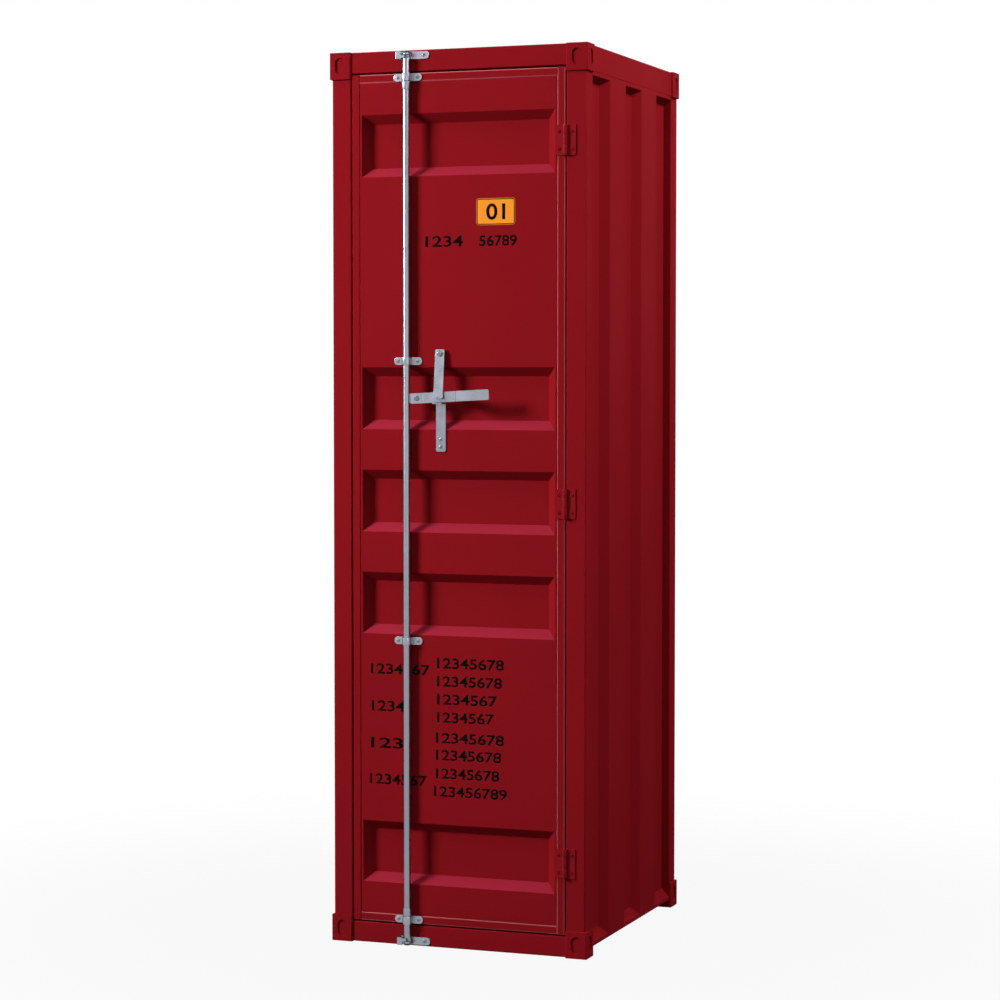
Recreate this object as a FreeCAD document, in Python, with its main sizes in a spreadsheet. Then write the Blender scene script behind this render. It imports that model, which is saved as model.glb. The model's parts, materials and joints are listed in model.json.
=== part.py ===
import FreeCAD, Part
import math
import os
import re
import Sketcher

# Container-style steel wardrobe locker, in millimetres.
# +X is right, +Y is back, +Z is up, and the origin is the middle of the box on the floor.

SIZES = {
    "width": (635, "overall width over the corner castings"),
    "depth": (711, "overall depth over the corner castings"),
    "height": (2083, "overall height over the corner castings"),
    "casting_side": (52, "plan side of a corner casting"),
    "casting_height": (62, "height of a corner casting"),
    "casting_radius": (3, "edge radius of a corner casting"),
    "slot_length": (38, "length of a casting hand hole"),
    "slot_width": (23, "width of a casting hand hole"),
    "slot_depth": (3.5, "depth of a casting hand hole"),
    "frame_inset": (5, "frame faces behind the casting faces"),
    "tube_wall": (2, "wall of every frame tube"),
    "tube_radius": (3, "outer corner radius of every frame tube"),
    "rail_drop": (0.5, "top rails below the casting tops"),
    "header_height": (49, "height of the header tube"),
    "sill_lift": (1, "sill above the floor"),
    "sill_height": (48, "height of the sill tube"),
    "top_rail_height": (60.5, "height of the top side and rear rails"),
    "low_rail_lift": (18, "bottom rails above the floor"),
    "low_rail_height": (8, "height of the bottom rails"),
    "sheet": (1.5, "thickness of the panels"),
    "groove_depth": (20, "depth of a wall corrugation"),
    "groove_run": (20, "run of a corrugation's slope"),
    "groove_open": (124, "width of a corrugation at the crest"),
    "groove_brim": (8, "flat above the closed upper ends of the corrugations"),
    "groove_head": (12, "run of a corrugation's closed upper end"),
    "groove_foot": (20, "run of a corrugation's closed lower end"),
    "roof_drop": (4, "roof sheet below the top rails"),
    "door_gap": (2.5, "gap beside the door"),
    "sash_gap": (3.5, "gap above and below the door"),
    "stile_width": (20, "face width of the door frame tubes"),
    "door_depth": (30, "depth of the door frame tubes"),
    "pan_depth": (12, "return flange of the door panel"),
    "pan_radius": (1.4, "front edge radius of the door panel"),
    "recess_margin": (5, "flat beside a door recess"),
    "recess_height": (144, "height of a door recess at the face"),
    "recess_depth": (22, "depth of a door recess"),
    "recess_run": (21, "run of a recess bevel"),
    "rim_radius": (3, "radius of a recess rim"),
    "near_pitch": (239, "middle recess to its neighbours"),
    "recess_end": (73.25, "flat between an end recess and the end of the panel"),
    "stop_width": (16, "width of the door stop strip"),
    "stop_sheet": (3, "thickness of the door stop strip"),
    "stop_gap": (0.6, "door stop behind the closed door"),
    "stop_end": (90, "door stop short of each end of the door"),
    "strap": (2.5, "thickness of the flat lock gear"),
    "hinge_height": (68, "height of a hinge"),
    "hinge_leaf": (24.5, "hinge pin to the edge of a leaf"),
    "hinge_offset": (5.5, "hinge pin in front of the door face"),
    "barrel_radius": (5, "radius of a hinge knuckle"),
    "pin_radius": (2.5, "radius of a hinge pin"),
    "pin_fit": (0.05, "running clearance of a pin in its hole"),
    "knuckle_height": (24, "height of the middle hinge knuckle"),
    "knuckle_gap": (0.4, "gap round the parts of a hinge that turn"),
    "rod_across": (121.8, "lock rod left of the middle"),
    "rod_offset": (12, "lock rod axis in front of the door face"),
    "rod_radius": (8, "radius of the lock rod"),
    "rod_clear": (0.3, "gap between the lock rod and its brackets"),
    "rod_end": (4, "end caps from the floor and the top"),
    "cap_height": (4, "height of a rod end cap"),
    "collar_radius": (10, "radius of a rod collar"),
    "collar_height": (19, "height of a rod collar"),
    "collar_gap": (0.5, "gap between a collar and its bracket"),
    "bracket_length": (70, "length of a rod bracket"),
    "bracket_height": (18, "height of a rod bracket"),
    "bracket_round": (8.5, "corner radius of a bracket ear"),
    "bracket_pitch": (325, "middle of the door to the inner brackets"),
    "bracket_screw": (25, "rod axis to a bracket screw"),
    "keeper_rise": (13, "middle of a keeper from the nearer end"),
    "keeper_height": (18, "height of a keeper"),
    "keeper_right": (53, "rod axis to the right end of a keeper"),
    "keeper_left": (23, "rod axis to the outer wall of a keeper"),
    "keeper_tab": (13, "width of a keeper's front tab"),
    "keeper_reach": (20, "front of a keeper from the frame face"),
    "keeper_round": (8, "corner radius of a keeper's plate"),
    "keeper_screw_near": (12, "rod axis to the inner keeper screw"),
    "keeper_screw_far": (40, "rod axis to the outer keeper screw"),
    "finger_height": (7, "height of a keeper's finger"),
    "finger_clear": (0.8, "gap round the keeper's finger"),
    "lug_front": (12.5, "front of the hub lug from the door face"),
    "lug_sheet": (3.5, "thickness of the hub lug"),
    "lug_height": (22, "height of the hub lug"),
    "pivot_across": (27, "rod axis to the handle rivet"),
    "rivet_radius": (3, "radius of the rivet shanks"),
    "rivet_head": (6, "radius of the rivet heads"),
    "rivet_cap": (2.5, "height of the rivet heads"),
    "handle_gap": (0.4, "gap between the hub lug and the handle"),
    "handle_sheet": (3.5, "thickness of the handle"),
    "handle_height": (24, "height of the handle bar"),
    "handle_tail": (15, "handle rivet to the near end of the handle"),
    "handle_tilt": (2.9, "rise of the handle to the right, in degrees"),
    "handle_round": (3, "corner radius of the handle"),
    "first_bend": (14, "handle rivet to the first bend"),
    "first_run": (4.5, "length of the first bend"),
    "first_step": (2, "depth of the first bend"),
    "second_bend": (95.5, "handle rivet to the second bend"),
    "second_run": (11.5, "length of the second bend"),
    "handle_length": (187.5, "handle rivet to the far end"),
    "grip_reach": (40, "front of the grip from the door face"),
    "strap_across": (40, "catch and retainer left of the middle"),
    "catch_width": (23, "width of the handle catch"),
    "catch_rise": (103, "handle rivet to the catch rivet"),
    "catch_top": (10, "catch rivet to the top of the catch"),
    "catch_lap": (1.5, "bottom of the catch below the handle rivet"),
    "catch_near": (6.5, "catch from the door face at its rivet"),
    "catch_far": (18.5, "catch from the door face at its foot"),
    "catch_reach": (28.5, "front of the catch foot from the door face"),
    "catch_round": (4, "corner radius of the catch"),
    "boss_radius": (7, "radius of the catch rivet's spacer"),
    "boss_gap": (1.5, "room between the spacer and the leaning catch"),
    "retainer_width": (24, "width of the handle retainer"),
    "retainer_drop": (113, "length of the handle retainer"),
    "retainer_reach": (30, "front of the retainer ledge from the door face"),
    "retainer_screw": (11, "bottom of the retainer to its first screw"),
    "retainer_pitch": (17.5, "pitch of the retainer screws"),
    "rest_gap": (0.4, "gap between the handle and its ledge"),
    "lock_hole": (4, "radius of the padlock holes"),
    "lock_hole_offset": (23.5, "padlock holes from the door face"),
    "screw_radius": (2, "radius of a screw shank"),
    "screw_head": (4, "radius of a screw head"),
    "screw_cap": (1.8, "height of a screw head"),
    "screw_bite": (3, "length of a screw behind the plate that it holds"),
    "hinge_screw": (16, "hinge pin to the screws"),
    "hinge_screw_pitch": (40, "pitch of the screws in a hinge leaf"),
    "shelf_height": (1700, "top of the hat shelf"),
    "shelf_depth": (440, "depth of the hat shelf"),
    "shelf_lip": (25, "turned down edge of the hat shelf"),
    "shelf_gap": (1, "gap at each end of the hat shelf"),
    "bracket_leg": (20, "leg of a shelf bracket"),
    "bracket_inset": (3, "shelf bracket short of each edge of the shelf"),
    "hanging_drop": (90, "hat shelf to the hanging rail"),
    "hanging_radius": (12.5, "radius of the hanging rail"),
    "hanging_wall": (1.5, "wall of the hanging rail"),
}

DERIVED = {
    "front_y": "(grip_reach - frame_inset - depth) / 2",
    "face_y": "front_y + frame_inset",
    "back_y": "front_y + depth",
    "tube_side": "casting_side - frame_inset",
    "wall_x": "width / 2 - frame_inset",
    "bay_x": "wall_x - groove_depth - sheet",
    "opening_half": "width / 2 - casting_side",
    "opening_low": "sill_lift + sill_height",
    "opening_high": "height - rail_drop - header_height",
    "rail_top": "height - rail_drop",
    "low_rail_top": "low_rail_lift + low_rail_height",
    "door_half": "opening_half - door_gap",
    "door_low": "opening_low + sash_gap",
    "door_high": "opening_high - sash_gap",
    "door_middle": "(opening_low + opening_high) / 2",
    "panel_half": "door_half - stile_width",
    "panel_low": "door_low + stile_width",
    "panel_high": "door_high - stile_width",
    "recess_half": "panel_half - recess_margin",
    "far_pitch": "(panel_high - panel_low - recess_height) / 2 - recess_end",
    "skin": "sheet * sqrt(recess_run * recess_run + recess_depth * recess_depth) / recess_depth",
    "hinge_x": "opening_half - door_gap / 2",
    "rod_x": "-rod_across",
    "rod_y": "face_y - rod_offset",
    "bracket_bore": "rod_radius + rod_clear",
    "pivot_x": "rod_x + pivot_across",
    "handle_z": "door_middle + near_pitch",
    "handle_front": "lug_front + handle_gap + handle_sheet",
    "strap_x": "-strap_across",
    "catch_foot": "handle_z - catch_lap",
    "catch_z": "handle_z + catch_rise",
    "catch_lean": "(catch_far - catch_near) / (catch_rise + catch_lap)",
    "ledge_left": "strap_x - retainer_width / 2 - pivot_x",
    "ledge_top": "handle_z + ledge_left * tan(handle_tilt * 1 deg)"
                 " - handle_height / 2 / cos(handle_tilt * 1 deg) - rest_gap",
    "retainer_low": "ledge_top - retainer_drop",
    "hanging_z": "shelf_height - hanging_drop",
    "middle_y": "front_y + depth / 2",
}

NEAR = 0.01
SLANT = 0.001
GROOVES = 3
HEAD_SIDES = 8
SHANK_SIDES = 6
WORD = re.compile(r"[a-z][a-z_]*")
TURNS = {
    "up": FreeCAD.Rotation(),
    "forward": FreeCAD.Rotation(FreeCAD.Vector(1, 0, 0), 90),
    "right": FreeCAD.Rotation(FreeCAD.Vector(0, 1, 0), 90),
}
AXES = {
    "x": FreeCAD.Vector(1, 0, 0),
    "y": FreeCAD.Vector(0, 1, 0),
    "z": FreeCAD.Vector(0, 0, 1),
}

doc = FreeCAD.newDocument("locker")
sheet = doc.addObject("Spreadsheet::Sheet", "Sizes")
for row, (alias, (value, note)) in enumerate(SIZES.items(), start=1):
    sheet.set("A%d" % row, note)
    sheet.set("B%d" % row, str(value))
    sheet.setAlias("B%d" % row, alias)
doc.recompute()
pieces = []


# Formulas

def expression(formula):
    """Write a formula of size names as an expression on the sheet."""
    def full(match):
        word = match.group(0)
        if word in DERIVED:
            return "(" + expression(DERIVED[word]) + ")"
        if word in SIZES:
            return "Sizes." + word
        return word
    return WORD.sub(full, str(formula))


def number(formula):
    """Work out a formula as a plain number."""
    return float(sheet.evalExpression(expression(formula)))


def bind(thing, path, formula):
    """Tie a property of an object to a formula."""
    thing.setExpression(path, expression(formula))


def put(thing, x, y, z):
    """Tie an object's place to three formulas."""
    for axis, formula in zip("xyz", (x, y, z)):
        bind(thing, ".Placement.Base." + axis, formula)


def keep(thing, label):
    """Give a finished sub-part its name and list it for export."""
    thing.Label = label
    pieces.append(thing)
    return thing


# Sketches and features

def sketch_on(body, role, x="0", y="0", z="0"):
    """Attach a new sketch to one of the body's own planes, moved by x, y and z in the plane's axes."""
    sketch = body.newObject("Sketcher::SketchObject", body.Name + "_sketch")
    plane = next(part for part in body.Origin.OriginFeatures if part.Role == role)
    sketch.AttachmentSupport = (plane, [""])
    sketch.MapMode = "FlatFace"
    for axis, formula in zip("xyz", (x, y, z)):
        bind(sketch, ".AttachmentOffset.Base." + axis, formula)
    return sketch


def fix_point(sketch, index, which, x, y):
    """Hold a point of the sketch at two formulas."""
    for kind, formula in (("DistanceX", x), ("DistanceY", y)):
        constraint = Sketcher.Constraint(kind, -1, 1, index, which, number(formula))
        place = sketch.addConstraint(constraint)
        bind(sketch, "Constraints[%d]" % place, formula)


def outline(sketch, corners):
    """Draw a closed outline of straight lines through corners given as formulas."""
    points = [FreeCAD.Vector(number(x), number(y), 0) for x, y in corners]
    first = sketch.GeometryCount
    count = len(points)
    for i in range(count):
        sketch.addGeometry(Part.LineSegment(points[i], points[(i + 1) % count]))
    for i in range(count):
        follower = first + (i + 1) % count
        sketch.addConstraint(Sketcher.Constraint("Coincident", first + i, 2, follower, 1))
    for i, (x, y) in enumerate(corners):
        fix_point(sketch, first + i, 1, x, y)


def rectangle(sketch, left, right, low, high):
    """Draw a rectangle between four formulas."""
    outline(sketch, [(left, low), (right, low), (right, high), (left, high)])


def circle(sketch, x, y, radius):
    """Draw a circle."""
    centre = FreeCAD.Vector(number(x), number(y), 0)
    index = sketch.addGeometry(Part.Circle(centre, FreeCAD.Vector(0, 0, 1), number(radius)))
    fix_point(sketch, index, 3, x, y)
    place = sketch.addConstraint(Sketcher.Constraint("Radius", index, number(radius)))
    bind(sketch, "Constraints[%d]" % place, radius)


def slot(sketch, length, width):
    """Draw an upright slot with round ends about the sketch's origin."""
    radius = number(width) / 2
    reach = number(length) / 2 - radius
    top = Part.Circle(FreeCAD.Vector(0, reach, 0), FreeCAD.Vector(0, 0, 1), radius)
    low = Part.Circle(FreeCAD.Vector(0, -reach, 0), FreeCAD.Vector(0, 0, 1), radius)
    right = Part.LineSegment(FreeCAD.Vector(radius, -reach, 0), FreeCAD.Vector(radius, reach, 0))
    left = Part.LineSegment(FreeCAD.Vector(-radius, reach, 0), FreeCAD.Vector(-radius, -reach, 0))
    upper = Part.ArcOfCircle(top, 0, math.pi)
    lower = Part.ArcOfCircle(low, math.pi, 2 * math.pi)
    sketch.addGeometry([right, upper, left, lower])
    for i in range(4):
        sketch.addConstraint(Sketcher.Constraint("Tangent", i, 2, (i + 1) % 4, 1))
    sketch.addConstraint(Sketcher.Constraint("Vertical", 0))
    fix_point(sketch, 1, 3, "0", "(%s - (%s)) / 2" % (length, width))
    fix_point(sketch, 3, 3, "0", "((%s) - %s) / 2" % (width, length))
    place = sketch.addConstraint(Sketcher.Constraint("Radius", 1, radius))
    bind(sketch, "Constraints[%d]" % place, "(%s) / 2" % width)


def pad(body, sketch, length, back=False, middle=False):
    """Pad a sketch along its plane's normal, against it, or to both sides."""
    feature = body.newObject("PartDesign::Pad", body.Name + "_pad")
    feature.Profile = sketch
    feature.Reversed = back
    feature.Midplane = middle
    bind(feature, "Length", length)
    return feature


def pocket(body, sketch, length=None, back=False):
    """Cut a sketch to a depth, or right through to both sides."""
    feature = body.newObject("PartDesign::Pocket", body.Name + "_pocket")
    feature.Profile = sketch
    if length is None:
        feature.Type = "ThroughAll"
        feature.Midplane = True
    else:
        feature.Reversed = back
        bind(feature, "Length", length)
    return feature


def straight_edges(shape, axis, wanted):
    """Name the straight edges along an axis whose middle point is wanted."""
    names = []
    for index, edge in enumerate(shape.Edges, start=1):
        if edge.Curve.TypeId != "Part::GeomLine":
            continue
        ends = [vertex.Point for vertex in edge.Vertexes]
        run = ends[1] - ends[0]
        if run.cross(AXES[axis]).Length > SLANT * run.Length:
            continue
        if wanted((ends[0] + ends[1]) / 2):
            names.append("Edge%d" % index)
    return names


def corner_edges(shape, axis):
    """Name the edges along an axis at the corners of the shape's own box."""
    box = shape.BoundBox
    limits = {"x": (box.XMin, box.XMax), "y": (box.YMin, box.YMax), "z": (box.ZMin, box.ZMax)}

    def at_corner(point):
        across = [name for name in "xyz" if name != axis]
        return all(min(abs(getattr(point, name) - end) for end in limits[name]) < NEAR for name in across)
    return straight_edges(shape, axis, at_corner)


def fillet(body, base, names, radius):
    """Round named edges of a feature."""
    feature = body.newObject("PartDesign::Fillet", body.Name + "_fillet")
    feature.Base = (base, names)
    bind(feature, "Radius", radius)
    return feature


def new_body(label):
    """Start a body that becomes a sub-part."""
    return keep(doc.addObject("PartDesign::Body", label), label)


# Simple solids

def block(x, y, z, length, width, height):
    """Make a box from its low corner and its sizes."""
    thing = doc.addObject("Part::Box", "block")
    for name, formula in (("Length", length), ("Width", width), ("Height", height)):
        bind(thing, name, formula)
    put(thing, x, y, z)
    return thing


def bar(x, y, z, radius, length, turn="up"):
    """Make a round bar that runs up, forward or right from a point."""
    thing = doc.addObject("Part::Cylinder", "bar")
    bind(thing, "Radius", radius)
    bind(thing, "Height", length)
    thing.Placement = FreeCAD.Placement(FreeCAD.Vector(), TURNS[turn])
    put(thing, x, y, z)
    return thing


def fuse(parts):
    """Join solids into one."""
    thing = doc.addObject("Part::MultiFuse", "joined")
    thing.Shapes = parts
    thing.Refine = True
    return thing


def cut(base, tools):
    """Cut solids out of another."""
    thing = doc.addObject("Part::Cut", "cut")
    thing.Base = base
    thing.Tool = tools[0] if len(tools) == 1 else fuse(tools)
    return thing


def group(parts, label):
    """Keep separate equal solids together as one sub-part."""
    thing = doc.addObject("Part::Compound", label)
    thing.Links = parts
    return keep(thing, label)


def screw(x, z):
    """Make a plain screw whose head sits on a plate that is as thick as the flat lock gear."""
    parts = []
    for y, radius, length, sides in (
            ("face_y - strap", "screw_head", "screw_cap", HEAD_SIDES),
            ("face_y + screw_bite", "screw_radius", "screw_bite + strap", SHANK_SIDES)):
        thing = doc.addObject("Part::Prism", "screw")
        thing.Polygon = sides
        bind(thing, "Circumradius", radius)
        bind(thing, "Height", length)
        thing.Placement = FreeCAD.Placement(FreeCAD.Vector(), TURNS["forward"])
        put(thing, x, y, z)
        parts.append(thing)
    return fuse(parts)


# Sheet and tube shapes

def bent_sheet(flats, thickness):
    """List the outline of a sheet that steps between flats, each (start, end, height of its outer side)."""
    outer = []
    inner = []
    for i, (start, end, out) in enumerate(flats):
        shifts = []
        for other in (i - 1, i + 1):
            if not 0 <= other < len(flats):
                shifts.append("0")
                continue
            low, high = sorted((i, other))
            rise = "((%s) - (%s))" % (flats[high][2], flats[low][2])
            run = "((%s) - (%s))" % (flats[high][0], flats[low][1])
            shifts.append("(%s) * tan(atan(%s / %s) / 2)" % (thickness, rise, run))
        outer.append((start, out))
        outer.append((end, out))
        inner.append(("%s + %s" % (start, shifts[0]), "%s - (%s)" % (out, thickness)))
        inner.append(("%s + %s" % (end, shifts[1]), "%s - (%s)" % (out, thickness)))
    return outer + inner[::-1]


def corrugation(length):
    """List the flats of a corrugated wall whose first and last grooves meet the posts."""
    pitch = "((%s) - groove_open) / %d" % (length, GROOVES - 1)
    flats = []
    for i in range(GROOVES):
        start = "%d * %s" % (i, pitch)
        floor_start = start + " + groove_run" if i else "0"
        floor_end = start + " + groove_open - groove_run" if i < GROOVES - 1 else length
        flats.append((floor_start, floor_end, "-groove_depth"))
        if i < GROOVES - 1:
            flats.append((start + " + groove_open", "%d * %s" % (i + 1, pitch), "0"))
    return flats


def groove_ends(tall):
    """List the outlines of the strips that close the corrugations at the bottom and at the top of a wall."""
    foot = [("0", "sheet", "0"), ("sheet + groove_foot", "2 * sheet + groove_foot", "-groove_depth")]
    brim = "%s - groove_brim" % tall
    head = brim + " - groove_head"
    top = [(head + " - sheet", head, "-groove_depth"), (brim, tall, "0")]
    return [bent_sheet(flats, "sheet") for flats in (foot, top)]


def tube(label, axis, x, y, z, first, second, length):
    """Make a square tube along an axis from its low corner, with its two section sizes."""
    roles = {"z": "XY_Plane", "x": "YZ_Plane", "y": "XZ_Plane"}
    body = new_body(label)
    sketch = sketch_on(body, roles[axis])
    rectangle(sketch, "0", first, "0", second)
    rectangle(sketch, "tube_wall", first + " - tube_wall", "tube_wall", second + " - tube_wall")
    solid = pad(body, sketch, length, back=(axis == "y"))
    doc.recompute()
    fillet(body, solid, corner_edges(solid.Shape, axis), "tube_radius")
    put(body, x, y, z)
    return body


# Cabinet frame

def corner_casting(label, right, back, top):
    """Make a corner casting with hand holes in its outer sides and, at the top, in its upper face."""
    body = new_body(label)
    sketch = sketch_on(body, "XY_Plane")
    rectangle(sketch, "0", "casting_side", "0", "casting_side")
    solid = pad(body, sketch, "casting_height")
    doc.recompute()
    fillet(body, solid, corner_edges(solid.Shape, "z"), "casting_radius")
    half = "casting_side / 2"
    middle = "casting_height / 2"
    holes = [
        ("XZ_Plane", half, middle, "-casting_side" if back else "0", back),
        ("YZ_Plane", half, middle, "casting_side" if right else "0", not right),
    ]
    if top:
        holes.append(("XY_Plane", half, half, "casting_height", False))
    for role, x, y, z, reverse in holes:
        hole = sketch_on(body, role, x, y, z)
        slot(hole, "slot_length", "slot_width")
        pocket(body, hole, "slot_depth", back=reverse)
    put(body,
        "width / 2 - casting_side" if right else "-width / 2",
        "back_y - casting_side" if back else "front_y",
        "height - casting_height" if top else "0")


def corners():
    """Name the four upright corners as (name, right, back)."""
    for back, depth_name in ((False, "front"), (True, "rear")):
        for right, side_name in ((False, "left"), (True, "right")):
            yield "%s_%s" % (depth_name, side_name), right, back


def frame():
    """Make the castings, posts and rails."""
    for name, right, back in corners():
        corner_casting("casting_%s_top" % name, right, back, True)
        corner_casting("casting_%s_bottom" % name, right, back, False)
        tube("post_" + name, "z",
             "opening_half" if right else "-wall_x",
             "back_y - casting_side" if back else "face_y",
             "casting_height", "tube_side", "tube_side", "height - 2 * casting_height")
    across = "2 * opening_half"
    along = "depth - 2 * casting_side"
    tube("header", "x", "-opening_half", "face_y", "opening_high", "tube_side", "header_height", across)
    tube("sill", "x", "-opening_half", "face_y", "sill_lift", "tube_side", "sill_height", across)
    levels = (
        ("top", "rail_top - top_rail_height", "top_rail_height"),
        ("bottom", "low_rail_lift", "low_rail_height"),
    )
    for level, z, tall in levels:
        tube("rear_rail_" + level, "x", "-opening_half", "back_y - casting_side", z, "tube_side", tall, across)
        for side, x in (("left", "-wall_x"), ("right", "opening_half")):
            tube("side_rail_%s_%s" % (side, level), "y", x, "front_y + casting_side", z, "tube_side", tall, along)


def walls():
    """Make the corrugated walls, the roof and the floor."""
    tall = "rail_top - top_rail_height - low_rail_top"
    along = "depth - 2 * casting_side"
    for side, sign in (("left", "-"), ("right", "")):
        body = new_body("side_panel_" + side)
        sketch = sketch_on(body, "XY_Plane")
        outline(sketch, [("%s(%s)" % (sign, out), run) for run, out in bent_sheet(corrugation(along), "sheet")])
        pad(body, sketch, tall)
        for strip in groove_ends(tall):
            closing = sketch_on(body, "XZ_Plane")
            outline(closing, [("%s(%s)" % (sign, out), rise) for rise, out in strip])
            pad(body, closing, along, back=True)
        put(body, sign + "wall_x", "front_y + casting_side", "low_rail_top")
    across = "2 * opening_half"
    body = new_body("back_panel")
    sketch = sketch_on(body, "XY_Plane")
    outline(sketch, bent_sheet(corrugation(across), "sheet"))
    pad(body, sketch, tall)
    for strip in groove_ends(tall):
        closing = sketch_on(body, "YZ_Plane")
        outline(closing, [(out, rise) for rise, out in strip])
        pad(body, closing, across)
    put(body, "-opening_half", "back_y - frame_inset", "low_rail_top")
    floor_z = "low_rail_lift + (low_rail_height - sheet) / 2"
    for label, z in (("roof_panel", "rail_top - roof_drop"), ("floor_panel", floor_z)):
        plate = block("-opening_half", "front_y + casting_side", z, across, along, "sheet")
        keep(plate, label)


def inside():
    """Make the hat shelf, its brackets, the hanging rail and the door stop."""
    shelf_half = "bay_x - shelf_gap"
    shelf = new_body("hat_shelf")
    sketch = sketch_on(shelf, "YZ_Plane")
    outline(sketch, [
        ("0", "0"), ("shelf_depth", "0"), ("shelf_depth", "-shelf_lip"), ("shelf_depth - sheet", "-shelf_lip"),
        ("shelf_depth - sheet", "-sheet"), ("sheet", "-sheet"), ("sheet", "-shelf_lip"), ("0", "-shelf_lip"),
    ])
    pad(shelf, sketch, "2 * (%s)" % shelf_half)
    shelf_y = "middle_y - shelf_depth / 2"
    put(shelf, "-(%s)" % shelf_half, shelf_y, "shelf_height")
    brackets = []
    for sign in ("-", ""):
        bracket = doc.addObject("PartDesign::Body", "shelf_bracket")
        sketch = sketch_on(bracket, "XZ_Plane")
        leg = [("0", "0"), ("-bracket_leg", "0"), ("-bracket_leg", "-sheet"),
               ("-sheet", "-sheet"), ("-sheet", "-bracket_leg"), ("0", "-bracket_leg")]
        outline(sketch, [("%s(%s)" % (sign, x), z) for x, z in leg])
        pad(bracket, sketch, "shelf_depth - 2 * bracket_inset", back=True)
        put(bracket, "%s(bay_x)" % sign, shelf_y + " + bracket_inset", "shelf_height - sheet")
        brackets.append(bracket)
    group(brackets, "shelf_brackets")
    rail = bar("-bay_x", "middle_y", "hanging_z", "hanging_radius", "2 * bay_x", "right")
    bore = bar("-bay_x", "middle_y", "hanging_z", "hanging_radius - hanging_wall", "2 * bay_x", "right")
    keep(cut(rail, [bore]), "hanging_rail")
    stop = block("-opening_half", "face_y + door_depth + stop_gap", "door_low + stop_end",
                 "stop_width", "stop_sheet", "door_high - door_low - 2 * stop_end")
    keep(stop, "door_stop")


# Door

def recess_heights():
    """List the middle heights of the five recesses from the top down."""
    return ["door_middle" + step for step in (" + far_pitch", " + near_pitch", "", " - near_pitch", " - far_pitch")]


def wedge(body, kind, z, grow, reach):
    """Add or cut a recess wedge whose sides are moved out by grow and whose floor is at reach."""
    thing = body.newObject("PartDesign::" + kind, body.Name + "_wedge")
    inset = "recess_run * (%s) / recess_depth" % reach
    limits = {
        "Xmin": "-(recess_half + %s)" % grow, "Xmax": "recess_half + %s" % grow,
        "Zmin": "-(recess_height / 2 + %s)" % grow, "Zmax": "recess_height / 2 + %s" % grow,
        "X2min": "-(recess_half + %s - %s)" % (grow, inset), "X2max": "recess_half + %s - %s" % (grow, inset),
        "Z2min": "-(recess_height / 2 + %s - %s)" % (grow, inset),
        "Z2max": "recess_height / 2 + %s - %s" % (grow, inset),
        "Ymin": "0", "Ymax": reach,
    }
    for name, formula in limits.items():
        bind(thing, name, formula)
    bind(thing, ".Placement.Base.z", z)
    return thing


def rim_edges(shape):
    """Name the edges round the recesses where they meet the face of the panel."""
    half = number("recess_half")
    tall = number("recess_height") / 2
    middles = [number(z) - number("door_middle") for z in recess_heights()]

    def on_rim(point):
        near = any(abs(point.z - z) < tall + NEAR for z in middles)
        return near and abs(point.x) < half + NEAR and abs(point.y) < NEAR
    return straight_edges(shape, "x", on_rim) + straight_edges(shape, "z", on_rim)


def door_panel():
    """Make the pressed door panel: a pan with five bevelled recesses."""
    body = new_body("door_panel")
    half_tall = "(panel_high - panel_low) / 2"
    sketch = sketch_on(body, "XZ_Plane")
    rectangle(sketch, "-panel_half", "panel_half", "-" + half_tall, half_tall)
    solid = pad(body, sketch, "pan_depth", back=True)
    doc.recompute()
    edges = []
    for axis in "xz":
        edges += straight_edges(solid.Shape, axis, lambda point: abs(point.y) < NEAR)
    fillet(body, solid, edges, "pan_radius")
    hollow = sketch_on(body, "XZ_Plane", z="-pan_depth")
    rectangle(hollow, "sheet - panel_half", "panel_half - sheet", "sheet - " + half_tall, half_tall + " - sheet")
    pocket(body, hollow, "pan_depth - sheet", back=True)
    shifts = [z.replace("door_middle", "0") for z in recess_heights()]
    for z in shifts:
        wedge(body, "AdditiveWedge", z, "skin", "recess_depth + sheet")
    for z in shifts:
        last = wedge(body, "SubtractiveWedge", z, "0", "recess_depth")
    doc.recompute()
    fillet(body, last, rim_edges(last.Shape), "rim_radius")
    put(body, "0", "face_y", "door_middle")


def door():
    """Make the door frame and its panel."""
    tall = "door_high - door_low"
    for label, x in (("door_stile_lock", "-door_half"), ("door_stile_hinge", "panel_half")):
        tube(label, "z", x, "face_y", "door_low", "stile_width", "door_depth", tall)
    for label, z in (("door_rail_top", "panel_high"), ("door_rail_bottom", "door_low")):
        tube(label, "x", "-panel_half", "face_y", z, "door_depth", "stile_width", "2 * panel_half")
    door_panel()


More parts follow.
